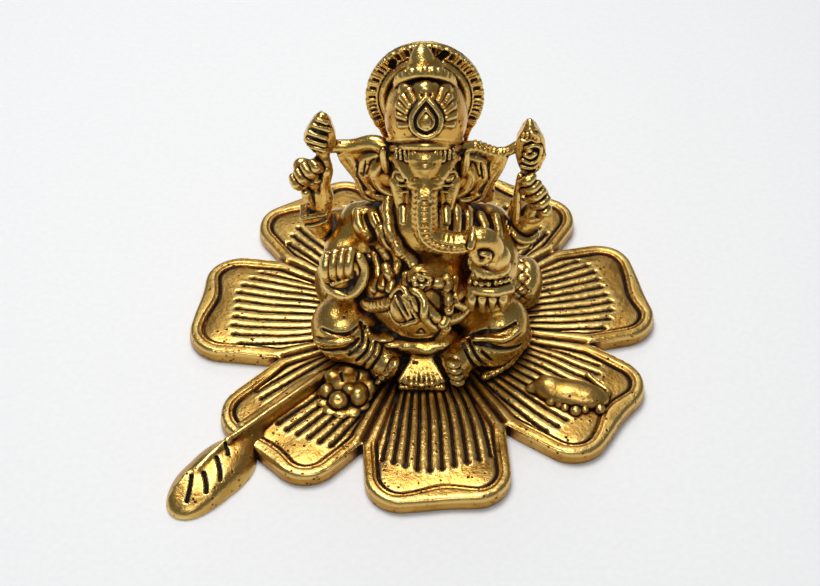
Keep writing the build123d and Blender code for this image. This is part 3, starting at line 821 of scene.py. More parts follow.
def model_face(wax):
    """Skull, neck, brow shield, cheeks and short tusks."""
    wax.add(lump((HEAD_X, -1.5, 80), (10.4, 9.5, 15)), 1)
    wax.add(limb((HEAD_X, -1, 66), (HEAD_X, -1, 78), 8.5, 9.5), 3)
    wax.add(lump((HEAD_X, -9.0, 88.4), (9.0, 5.4, 4.6)), 2)
    for shield in both_sides([(-7.6, -10.0, 86.4), (-5.0, -13.6, 85.4), (-2.4, -16.4, 82.6)]):
        wax.add(rod([(*shield[0], 1.8), (*shield[1], 2.4), (*shield[2], 2.8)]), 1.6)
    cheeks = both_sides([(-7.4, -9.6, 76.6), (-6.9, -11.6, 73.2), (-6.5, -13.0, 70.0)])
    tusks = both_sides([(-6.0, -15.6, 70.8), (-6.2, -18.6, 68.2)])
    for cheek, tusk in zip(cheeks, tusks):
        wax.add(rod([(*cheek[0], 3.2), (*cheek[1], 2.6), (*cheek[2], 1.9)]), 1.2)
        wax.add(rod([(*tusk[0], 1.5), (*tusk[1], 1.25)]), 0.3)
    for brow in both_sides([(-9.4, -6.6, 84.2), (-7.4, -10.0, 86.6), (-4.8, -13.4, 86.8),
                            (-3.6, -16.4, 84.4)]):
        wax.add(rod(brow, 1.25), 1.2)


def model_eyes(wax):
    """Sunk eyeballs with heavy upper lids, thin lower lids and a bag below."""
    for ball, upper, lower, bag in zip(
        both_sides([(-6.4, -12.3, 80.4)]),
        both_sides([(-9.2, -9.6, 79.6), (-8.2, -11.0, 82.4), (-6.0, -13.4, 83.4), (-4.2, -15.0, 81.4)]),
        both_sides([(-9.2, -9.8, 79.2), (-7.2, -12.6, 78.2), (-4.6, -14.4, 79.6)]),
        both_sides([(-9.0, -10.2, 76.8), (-7.2, -12.6, 75.6), (-4.6, -14.0, 76.8)]),
    ):
        wax.cut(lump(ball[0], (2.9, 2.2, 2.3)), 0.6)
        wax.add(lump(np.array(ball[0]) + (0, 1.0, 0), (2.1, 1.9, 1.75)), 0.15)
        wax.add(rod(upper, 0.62), 0.3)
        wax.add(rod(lower, 0.45), 0.3)
        wax.add(rod(bag, 0.5), 0.5)


def model_trunk(wax):
    """The trunk drops from the brow, bends and curls to the idol's left, ringed along both flanks."""
    wax.add(rod(TRUNK), 1.2)
    path = curve(TRUNK, 1.45)
    route = path[:, :3]
    along = np.gradient(route, axis=0)
    along /= np.linalg.norm(along, axis=1, keepdims=True)
    forward = np.array((0, -0.94, 0.34))
    outward = forward - (along @ forward)[:, None] * along
    outward /= np.linalg.norm(outward, axis=1, keepdims=True)
    beside = np.cross(along, outward)
    for i in range(3, len(path) - 1):
        for first, last in ((-95, -28), (28, 95)):
            ring = [path[i, :3] + (path[i, 3] + 0.2) * (math.cos(a) * outward[i] + math.sin(a) * beside[i])
                    for a in np.radians(np.linspace(first, last, 5))]
            wax.score(ring, 0.8, 0.16, 0.3)
    for turn in (-24, 24):
        a = math.radians(turn)
        edge = path[5:-1, :3] + path[5:-1, 3:] * (math.cos(a) * outward[5:-1] + math.sin(a) * beside[5:-1])
        wax.lay(edge, 0.65, 0.68, 0.6)
    wax.lay([(-1.2, -22.0, 80.6), (HEAD_X, -21.6, 82.0), (2.3, -22.0, 80.6)], 0.65, 0.68, 0.6)
    middle = path[6:-1, :3] + path[6:-1, 3:] * outward[6:-1]
    for p in wax.settle(middle, -0.15):
        wax.add(lump(p, (0.8, 0.6, 0.5)), 0.4)

    # the curled tip: a collar, a domed lobe and a carved spiral that hangs below it
    wax.add(rod([(14.6, -29.4, 67.6), (15.2, -27.6, 70.0), (15.4, -24.0, 70.2)], 1.1), 0.3)
    wax.add(rod([(15.0, -25.4, 66.4, 3.7), (17.5, -25.6, 67.8, 3.5), (20.4, -25.4, 66.8, 3.2),
                 (22.6, -25.4, 63.6, 2.6), (22.4, -26.0, 60.4, 2.0)]), 0.5)
    wax.add(rod([(15.8, -27.2, 66.4, 1.7), (15.8, -27.8, 63.4, 1.9), (17.4, -28.2, 61.0, 1.9),
                 (19.6, -28.6, 61.8, 1.6), (20.0, -28.8, 63.8, 1.3), (18.4, -29.0, 64.6, 1.0)]), 0.2)
    wax.add(lump((18.0, -26.8, 63.2), (2.2, 1.4, 2.2)), 0.3)
    for i in range(4):
        wax.add(rod([(20.6 + 0.9 * i, -27.0 + 0.5 * i, 62.6 - 0.6 * i, 0.7),
                     (20.0 + 1.5 * i, -26.8 + 0.4 * i, 58.0, 0.8)]),
                0.25)


def on_dome(across, height):
    """A point on the crown's front: across from its middle line, at a height."""
    left = 1 - (across / 12.8) ** 2 - ((height - 96.5) / 15) ** 2
    return (HEAD_X + 0.3 + across, -1.5 - 12 * math.sqrt(max(left, 0.02)), height)


def model_crown(wax):
    """A domed crown: drooping band, jewel with rays, a scalloped second tier and a knob."""
    wax.add(lump((HEAD_X + 0.3, -1.5, 96.5), (12.8, 12, 15.0)), 0.8)
    for height, fat, wide in ((-0.6, 1.3, 10.4), (2.6, 0.8, 11.4)):
        band = [(HEAD_X + wide * math.sin(t), -1.0 - 12.2 * math.cos(t),
                 84.6 + height + 10.4 * math.cos(t) ** 1.2)
                for t in np.linspace(-1.5, 1.5, 17)]
        wax.add(rod(band, fat), 0.5)

    # jewel: a drop inside a teardrop ring, with short rays around it
    drop = [(0, 5.6), (-2.4, 3.4), (-4.3, 0.2), (-3.6, -3.4), (0, -5.4), (3.6, -3.4), (4.3, 0.2),
            (2.4, 3.4), (0, 5.6)]
    for size, fat, lift in ((1.0, 0.85, 0.2), (0.52, 0.5, 0.5)):
        ring = wax.settle([on_dome(size * x, 103.4 + size * z) for x, z in drop], lift)
        wax.add(rod(ring, fat), 0.25)
    gem = wax.settle([on_dome(0, 102.8)], 0.1)[0]
    wax.add(lump(gem, (1.9, 1.1, 2.7), (-25, 0, 0)), 0.2)
    wax.cut(lump(gem + (0.2, -0.6, -1.5), (0.5, 0.9, 0.5)), 0.1)
    for turn in np.linspace(-112, 112, 13):
        a = math.radians(turn)
        ray = wax.settle([on_dome(r * math.sin(a), 103.2 + 0.92 * r * math.cos(a)) for r in (6.3, 8.4)], -0.2)
        wax.add(rod([(*ray[0], 0.8), (*ray[1], 1.25)]), 0.7)

    # the second tier: a scalloped arch behind the dome's crest, with a knob in front of it
    rim = [(HEAD_X + 8.2 * math.sin(t), 0.6 - 3.4 * math.cos(t), 106.4 + 7.2 * math.cos(t))
           for t in np.linspace(-1.5, 1.5, 13)]
    wax.add(rod(rim, 1.5), 0.6)
    for x, y, z in curve(rim, 2.7):
        wax.add(lump((x, y + 0.3, z + 0.9), (1.5, 1.4, 1.5)), 0.4)
    wax.add(lump((HEAD_X, -5.4, 110.2), (2.9, 2.6, 2.2)), 0.8)
    for side in (-1, 1):
        wax.add(lump((HEAD_X + side * 5.6, -3.6, 108.4), (2.4, 2.0, 2.0)), 0.8)

    wax.add(lump((HEAD_X, 3.4, 111.0), (5.8, 4.6, 3.4)), 0.8)
    wax.add(rod([(-0.2, 3.4, 112.0, 4.6), (-0.4, 4.8, 114.6, 3.1), (-0.5, 6.0, 116.2, 1.7)]), 0.8)
    wax.add(lump((-0.4, 0.4, 113.4), (2.6, 1.3, 1.3)), 0.6)

    # the fringe below the band and the mark on the brow
    for side in (-1, 1):
        for i in range(5):
            x = HEAD_X + side * (3.4 + 1.35 * i)
            wax.lay([(x, -14.0 + 0.8 * i, 92.2 - 0.3 * i), (x - side * 0.7, -14.6 + 0.8 * i, 89.4 - 0.3 * i)],
                    0.55, 0.05, 0.2)
    wax.lay([(HEAD_X, -13.6, 92.2), (HEAD_X, -16.4, 88.2)], 0.6, 0.05, 0.2)
    for side in (-1, 1):
        wax.lay([(HEAD_X + side * 2.5, -13.6, 91.8), (HEAD_X + side * 2.3, -15.4, 89.8),
                 (HEAD_X, -16.4, 88.6)], 0.6,
                0.05, 0.2)


def ear_fold(wax, side, low, points, fat, blend=0.5):
    """A rolled ridge on one ear, from points given for side 1 and moved up by low."""
    wax.add(rod([(side * x, y, z + low) for x, y, z in points], fat), blend)


def model_ears(wax):
    """Two flat flaps, each with a rolled rim, inner folds and a bar to the raised hand."""
    flap_left = [(-8, 84.5), (-17, 84.5), (-27, 81), (-26.2, 78), (-21.5, 70), (-19, 62), (-16, 60.5),
                 (-11, 64), (-8, 66)]
    flap_right = [(8, 83.5), (17, 83.5), (27, 79.5), (26.2, 76.5), (23, 69), (23, 62), (20, 60.5),
                  (13, 64), (8, 66)]
    wax.add(slab(flap_left, 0.5, 3.8), 0.8)
    wax.add(slab(flap_right, 0.5, 3.8), 0.8)
    wax.add(rod([(-9, -3.5, 83.0, 2.6), (-15, -1.0, 85.6, 2.5), (-22, 0.4, 83.2, 2.1),
                 (-29.5, 1.0, 82.6, 2.2)]), 0.5)
    bar = [(10, -3.5, 84.5, 2.0), (16, -0.5, 83.6, 1.9), (22, 0.4, 80.8, 1.7), (26, 0.6, 80.6, 1.7),
           (29.5, 1.0, 82.4, 1.8)]
    wax.add(rod(bar), 0.5)
    for p in curve(bar, 1.5)[4:]:
        wax.add(lump(p[:3], (0.75, p[3] + 0.35, p[3] + 0.35), (0, 20, 0)), 0.25)
    for side, low in ((-1, 0.0), (1, -1.0)):
        wax.add(lump((HEAD_X + side * 12.6, -4.8, 81.5 + low), (1.5, 1.3, 5.4), (0, side * 6, 0)), 0.3)
        ear_fold(wax, side, low, [(25.5, -0.4, 79.5), (21.5, -1.0, 72.0), (18.5, -1.0, 63.5),
                                  (14.0, -1.4, 62.5)], 1.0)
        wax.add(lump((side * 13.0, -1.6, 73.5 + low), (5.4, 2.6, 7.4), (0, side * 22, 0)), 1.5)
        ear_fold(wax, side, low, [(13.6, -1.4, 82.0), (18.4, -1.2, 79.0), (19.2, -1.3, 73.5),
                                  (16.0, -1.8, 67.6)], 1.5, 0.9)
        ear_fold(wax, side, low, [(12.4, -3.2, 79.6), (15.4, -3.4, 75.0), (14.0, -3.6, 70.0),
                                  (10.5, -4.0, 67.5)], 1.3, 0.9)
        ear_fold(wax, side, low, [(23.2, -0.7, 80.0), (20.6, -1.0, 74.0)], 1.1, 0.8)
        ear_fold(wax, side, low, [(17.2, -1.4, 66.0), (14.0, -2.4, 64.6), (10.0, -3.8, 66.0)], 1.4, 0.9)
        for i in range(3):
            wax.score([(side * (15.5 + 2.6 * i), -2, 80.5 + low - i),
                       (side * (17.0 + 2.0 * i), -2, 74.5 + low - i)], 0.7, 0.4)


def build_head():
    """Head, crown, ears and trunk in one casting; trunk and eyes go on after the roughening."""
    wax = Wax((-34, -33, 57), (34, 12, 121), 0.34)
    model_face(wax)
    model_crown(wax)
    model_ears(wax)
    wax.roughen(0.16, 3.2, 11)
    model_trunk(wax)
    model_eyes(wax)
    return pour("head_crown_trunk", *wax.cast(), "head", "gilt_idol")


# ------------------------------------------------------------------ halo

HALO_RADIUS = 18.3
HALO_LEAN = math.radians(8)
HALO_CENTRE = np.array([HEAD_X, 9.0, 96.0])


def halo_place(across, up, out):
    """A point of the halo from its own flat frame: across, up its lean, and out towards the face."""
    return (HALO_CENTRE[0] + across,
            HALO_CENTRE[1] + up * math.sin(HALO_LEAN) - out * math.cos(HALO_LEAN),
            HALO_CENTRE[2] + up * math.cos(HALO_LEAN) + out * math.sin(HALO_LEAN))


def build_halo():
    """A disc with a ribbed border, a raised ring inside it and two blind slots near the top."""
    wax = Wax((-21, -1, 64), (22, 17, 118), 0.3)
    disc = [(HEAD_X + HALO_RADIUS * math.sin(t), HALO_CENTRE[2] + HALO_RADIUS * math.cos(t))
            for t in np.linspace(0, 2 * math.pi, 48, endpoint=False)]
    lean = math.tan(HALO_LEAN)
    wax.add(slab(disc, HALO_CENTRE[1], 2.0, lean), 0.4)
    wax.add(slab([(-10, 66), (12, 66), (15.4, 88), (-13.4, 88)], 6.4, 2.2, lean), 1.5)
    sweep = np.linspace(-2.4, 2.4, 40)
    for radius, fat, out in ((13.0, 1.35, 1.3), (14.9, 0.4, 1.2), (HALO_RADIUS - 0.5, 0.55, 0.9)):
        wax.add(rod([halo_place(radius * math.sin(t), radius * math.cos(t), out) for t in sweep], fat), 0.25)
    for t in np.arange(-2.35, 2.36, 0.094):
        wobble = 0.02 * math.sin(37 * t)
        ends = (15.3, HALO_RADIUS - 0.4)
        rib = [halo_place(r * math.sin(t + wobble), r * math.cos(t + wobble), 0.95) for r in ends]
        wax.add(rod([(*rib[0], 0.5), (*rib[1], 0.72)]), 0.3)
    wax.roughen(0.12, 3.0, 12)
    for across, up, long, turn in ((-9.9, 12.0, 1.1, 0.4), (5.2, 14.6, 2.0, 0.9)):
        tilt = np.array([math.sin(turn), math.cos(turn)]) * long * 0.6
        for depth, fat in ((2.0, 1.25), (0.8, 1.15), (0.3, 0.9)):
            ends = [halo_place(across + s * tilt[0], up + s * tilt[1], depth) for s in (-1, 1)]
            wax.cut(limb(ends[0], ends[1], fat, fat), 0.2)
    return pour("halo_disc", *wax.cast(), "halo", "gilt_idol")


# ------------------------------------------------------------------ raised arms


def knuckles(wax, fingers, fat):
    """Folded fingers side by side: each one a short bent rod with a swollen middle joint."""
    for start, end in fingers:
        start, end = np.array(start), np.array(end)
        middle = (start + end) / 2 + (0, -0.9, 0.3)
        wax.add(rod([(*start, fat * 0.85), (*middle, fat * 1.08), (*end, fat * 0.85)]), 0.22)


def build_raised_right_arm():
    """Holds a flame-shaped emblem; a square cuff sits below the fist."""
    wax = Wax((-45, -12, 38), (-16, 10, 101), 0.3)
    wax.add(rod([(-22, 1, 50, 6.0), (-29, 1, 49, 5.2), (-33.5, -1, 52, 4.4), (-33.5, -2, 60, 3.0),
                 (-33, -2, 66, 2.6)]), 1)
    flame = [(-31.4, 96.2), (-33.8, 94.2), (-36.0, 90.4), (-37.2, 87.0), (-36.3, 84.8), (-34.2, 82.0),
             (-30.6, 81.0), (-27.4, 84.4), (-27.2, 88), (-28.4, 93.6)]
    wax.add(slab(flame, 0.2, 3.4), 0.8)
    wax.add(lump((-31.6, -1.0, 88.5), (4.0, 2.2, 6.6), (0, -8, 0)), 1.5)
    wax.add(lump((-31.0, -0.2, 94.2), (2.4, 1.8, 2.6)), 0.8)
    for start, end in (((-32.2, 96.0), (-29.4, 94.8)), ((-33.6, 94.0), (-28.8, 92.0)),
                       ((-35.0, 91.2), (-30.2, 89.4)),
                       ((-35.8, 88.0), (-30.6, 86.8)), ((-35.0, 85.4), (-31.0, 84.6))):
        wax.lay([(start[0], -3, start[1]), ((start[0] + end[0]) / 2, -3.4, (start[1] + end[1]) / 2 + 0.3),
                 (end[0], -3, end[1])], 0.85, 0.2, 0.3)
    wax.add(rod([(-31.0, -1.6, 83.5, 2.4), (-31.6, -2.4, 80.5, 2.0), (-33.2, -3.0, 78.5, 2.4)]), 0.6)
    wax.add(lump((-36.2, -2.6, 75.6), (5.6, 3.0, 3.6), (0, 42, 0)), 0.8)
    wax.add(lump((-33.8, -1.6, 71.0), (3.4, 2.4, 5.0), (0, 10, 0)), 0.8)
    knuckles(wax, [((-34.4, -5, 80.6), (-32.3, -5, 78.4)), ((-37.0, -5, 79.5), (-34.2, -5, 75.6)),
                   ((-39.3, -5, 77.0), (-36.6, -5, 73.0)), ((-41.0, -4.8, 74.6), (-39.2, -4.8, 70.8))], 1.75)
    for x, z in ((-37.8, 71.2), (-35.5, 72.6), (-33.4, 73.6)):
        wax.add(lump((x, -4.8, z), (1.35, 1.3, 1.1)), 0.2)
    wax.add(rod([(-30.6, -3, 80.5, 1.7), (-30.2, -3.6, 76.8, 1.9), (-30.7, -3.4, 73.8, 2.0),
                 (-31.2, -3, 69.5, 1.9), (-31.0, -2.8, 64.5, 2.5), (-32.0, -2.6, 60.5, 2.8)]), 0.4)
    wax.add(lump((-30.2, -5.0, 76.6), (1.3, 1.0, 2.2)), 0.3)
    wax.add(rod([(-37.3, -3.4, 67.0, 1.7), (-36.2, -3.4, 63.2, 1.7), (-35.0, -3.0, 60.5, 1.6)]), 0.3)
    wax.add(slab([(-39.9, 58.6), (-35, 59.9), (-30.7, 61.0), (-30.2, 56.4), (-35, 54.4), (-38.6, 54.0)],
                 -2.6, 6.0), 0.8)
    wax.lay([(-39.0, -6, 58.0), (-35, -6, 59.0), (-31, -6, 60.0)], 0.5, 0.2, 0.2)
    wax.lay([(-38.0, -6, 54.8), (-35, -6, 55.4), (-31, -6, 57.2)], 0.5, 0.2, 0.2)
    wax.roughen(0.16, 2.6, 21)
    return pour("raised_right_arm_gilt", *wax.cast(), "raised_right_arm", "gilt_idol")


def build_raised_left_arm():
    """Holds a shell-shaped emblem; two ribbed bracelets circle the wrist."""
    wax = Wax((16, -12, 36), (45, 10, 98), 0.3)
    wax.add(rod([(22, 1, 49, 6.0), (28, 0, 47, 5.2), (32.5, -1, 50, 4.4), (34.0, -2, 55, 3.6),
                 (36, -2.4, 60, 3.0)]), 1)
    shell = [(33.6, 93.0), (32.2, 92.8), (31.0, 91.0), (29.2, 86.6), (29.4, 80.7), (30.6, 76.3),
             (31.8, 72.6), (35.2, 72.6), (37.2, 75.4), (38.5, 80.7), (37.7, 86.3), (35.3, 91.2)]
    wax.add(slab(shell, 0.2, 3.4), 0.8)
    wax.add(lump((33.6, -0.8, 82.6), (4.4, 2.2, 8.4)), 1.5)
    wax.add(rod([(33.0, -1.0, 91.4, 2.0), (33.0, -0.4, 93.2, 1.2)]), 0.6)
    for x in (30.9, 32.2, 33.5, 34.8, 35.9):
        wax.lay([(x, -3, 89.4 - 0.4 * abs(x - 33.4)), (x, -3, 91.2 - 0.4 * abs(x - 33.4))], 0.62, 0.2, 0.2)
    wax.lay([(30.3, -3, 88.2), (33.4, -3, 88.6), (36.4, -3, 87.6)], 0.5, 0.2, 0.2)
    wax.lay([(32.0, -3, 85.2), (34.4, -3, 86.4), (36.7, -3, 85.0), (36.4, -3, 81.2), (34.1, -3, 79.4),
             (31.4, -3, 80.4)],
            0.75, 0.2, 0.25)
    wax.lay([(32.0, -3, 82.8), (33.4, -3.2, 82.0), (34.8, -3.2, 83.2)], 0.9, 0.2, 0.3)
    wax.add(lump((33.0, -3.0, 84.2), (1.2, 0.9, 1.1)), 0.3)
    wax.lay([(31.2, -3, 77.4), (34.2, -3, 77.0), (36.4, -3, 79.0), (37.6, -3, 82.4)], 0.75, 0.2, 0.25)
    wax.lay([(31.6, -3, 75.0), (34.4, -3, 74.6), (36.0, -3, 76.2)], 0.6, 0.2, 0.25)
    wax.add(rod([(33.4, -1.8, 74.5, 2.2), (32.8, -2.6, 71.5, 2.2), (34.5, -3, 69.5, 2.6)]), 0.6)
    wax.add(lump((36.0, -2.6, 66.6), (6.4, 3.0, 3.4), (0, 52, 0)), 0.8)
    knuckles(wax, [((31.2, -4.8, 72.4), (34.6, -4.8, 75.0)), ((32.2, -5, 69.0), (36.4, -5, 72.2)),
                   ((33.6, -5, 65.8), (38.0, -5, 69.0)), ((35.8, -5, 63.0), (39.5, -5, 65.6)),
                   ((37.9, -4.8, 59.2), (40.0, -4.8, 61.6))], 1.6)
    wax.add(rod([(30.9, -3, 73.5, 1.3), (30.2, -3.2, 66, 1.4), (30.2, -3.2, 57, 1.6),
                 (30.8, -3, 52, 1.6)]), 0.4)
    wax.add(rod([(28.9, -2.2, 62.5, 1.0), (28.6, -2.4, 57, 1.2)]), 0.4)
    wax.add(rod([(31.6, -3.4, 56.6, 1.5), (34.8, -4.4, 57.0, 1.7), (37.8, -3.8, 57.6, 1.7),
                 (39.0, -3.6, 58.4, 1.4)]), 0.4)
    wax.add(rod([(33.0, -3, 53.2, 3.0), (36.2, -2.6, 55.0, 2.8)]), 0.8)
    for route in ([(26.6, -3.4, 53.8), (28.7, -4.6, 51.6), (31.2, -5.2, 49.8), (34, -4.8, 48.8),
                   (36.4, -3.6, 49.2)],
                  [(26.8, -3.4, 50.2), (28.5, -4.4, 47.8), (31.0, -5.0, 46.2), (34, -4.4, 45.6)]):
        wax.lay(route, 1.5, 0.25, 0.3)
        for p in wax.settle(curve(route, 1.5), 0.1):
            wax.add(lump(p, (0.55, 1.1, 1.15), (0, 40, 0)), 0.2)
    wax.roughen(0.16, 2.6, 22)
    return pour("raised_left_arm_gilt", *wax.cast(), "raised_left_arm", "gilt_idol")


# ------------------------------------------------------------------ antiquing and painted shade

# how far out the open air is felt for, in mm, and how much each distance counts; the wider reaches paint
# shade
SHELTER = ((0.8, 0.30), (1.6, 0.40), (3.2, 0.35), (5.5, 0.20))


def averaged(points, edges, rounds):
    """Each point averaged with its neighbours, several times over."""
    a, b = edges.T
    count = np.bincount(edges.ravel(), minlength=len(points)) + 1
    for _ in range(rounds):
        size = len(points)
        total = [np.bincount(a, points[b, i], size) + np.bincount(b, points[a, i], size) for i in range(3)]
        points = (points + np.stack(total, 1)) / count[:, None]
    return points


def mesh_numbers(piece):
    """A mesh's points in mm, its normals and its edges."""
    mesh = piece.data
    points, normals = np.empty(len(mesh.vertices) * 3), np.empty(len(mesh.vertices) * 3)
    edges = np.empty(len(mesh.edges) * 2, int)
    mesh.vertices.foreach_get("co", points)
    mesh.vertices.foreach_get("normal", normals)
    mesh.edges.foreach_get("vertices", edges)
    return points.reshape(-1, 3) / MM, normals.reshape(-1, 3), edges.reshape(-1, 2)


def surroundings(pieces, cell):
    """One grid of distances to all the castings together."""
    points, faces, start = [], [], 0
    for piece in pieces:
        piece.data.calc_loop_triangles()
        corner = np.empty(len(piece.data.loop_triangles) * 3, np.int32)
        piece.data.loop_triangles.foreach_get("vertices", corner)
        co, _, _ = mesh_numbers(piece)
        points.append(co)
        faces.append(corner.reshape(-1, 3) + start)
        start += len(co)
    points = np.concatenate(points)
    low = points.min(0) - 8
    count = np.ceil((points.max(0) + 8 - low) / cell).astype(int)
    grid = openvdb.FloatGrid.createLevelSetFromPolygons(
        (points - low).astype(np.float32),
        triangles=np.concatenate(faces).astype(np.uint32),
        transform=openvdb.createLinearTransform(voxelSize=cell),
        halfWidth=6.5 / cell,
    )
    field = np.zeros(count, np.float32)
    grid.copyToArray(field)
    return field, low, cell


def paint_wash_and_shade(pieces):
    """Stores how dark the wash and painted shade make each point, and where the plating is rubbed bright
    (rub).
    """
    field, low, cell = surroundings(pieces, 0.5)
    for piece in pieces:
        points, normals, edges = mesh_numbers(piece)
        spread = 2
        fine = ((averaged(points, edges, 2 * spread) - points) * normals).sum(1)
        broad = ((averaged(points, edges, 9 * spread) - points) * normals).sum(1)
        hidden = 0.0
        # the closer other surfaces stand around a point, on this casting or another, the darker it is
        # painted: the wash in fine hollows, painted shade over wider ones
        for out, counts in SHELTER:
            open_air = interpolate(field, (points + normals * out - low) / cell) / out
            hidden = hidden + counts * (1 - np.clip(open_air, 0, 1))
        if "stain" in piece.data.attributes:
            stain = np.empty(len(points), np.float32)
            piece.data.attributes["stain"].data.foreach_get("value", stain)
            # on the dish: the wash in its grooves, flutes and folds, and painted shade around the figure's
            # foot and under the other castings
            tarnish = np.maximum(hidden - 0.04, stain)
            rub = np.clip(-broad / 0.2, 0, 0.6) * (stain < 0.1)
        else:
            # on the idol: painted shade from nearby parts and broad hollows, the wash in fine hollows
            tarnish = 1.02 * hidden + 0.36 * np.clip(fine / 0.07, -0.4, 1)
            tarnish += 0.42 * np.clip(broad / 0.25, -0.5, 1)
            rub = np.clip(-fine / 0.06, 0, 1) * 0.6 + np.clip(-broad / 0.3, 0, 1) * 0.6
        keep_numbers(piece, "tarnish", np.clip(tarnish, 0, 1))
        keep_numbers(piece, "rub", np.clip(rub, 0, 1))


# ------------------------------------------------------------------ finishes


def linear(code):
    """An sRGB hex colour as the linear RGBA that shaders take."""
    parts = [int(code[i : i + 2], 16) / 255 for i in (1, 3, 5)]
    return (*[p / 12.92 if p <= 0.04045 else ((p + 0.055) / 1.055) ** 2.4 for p in parts], 1.0)


def add_node(material, kind, settings, links=None):
    """Adds one node. Settings fill its options, inputs or ramp stops; links join it to other nodes."""
    node = material.node_tree.nodes.new(kind)
    for key, value in settings.items():
        if key == "stops":
            ramp = node.color_ramp.elements
            while len(ramp) < len(value):
                ramp.new(1.0)
            for stop, (place, colour) in zip(ramp, value):
                stop.position, stop.color = place, colour
        elif isinstance(key, int) or key in node.inputs:
            node.inputs[key].default_value = value
        else:
            setattr(node, key, value)
    for key, (source, output) in (links or {}).items():
        material.node_tree.links.new(source.outputs[output], node.inputs[key])
    return node


def new_material(name):
    """An empty node material."""
    material = bpy.data.materials.new(name)
    material.use_nodes = True
    material.node_tree.nodes.clear()
    return material


WHITE = linear("#ffffff")


def per_mm(size):
    """A pattern's scale for repeats of this many millimetres."""
    return 1 / (size * MM)


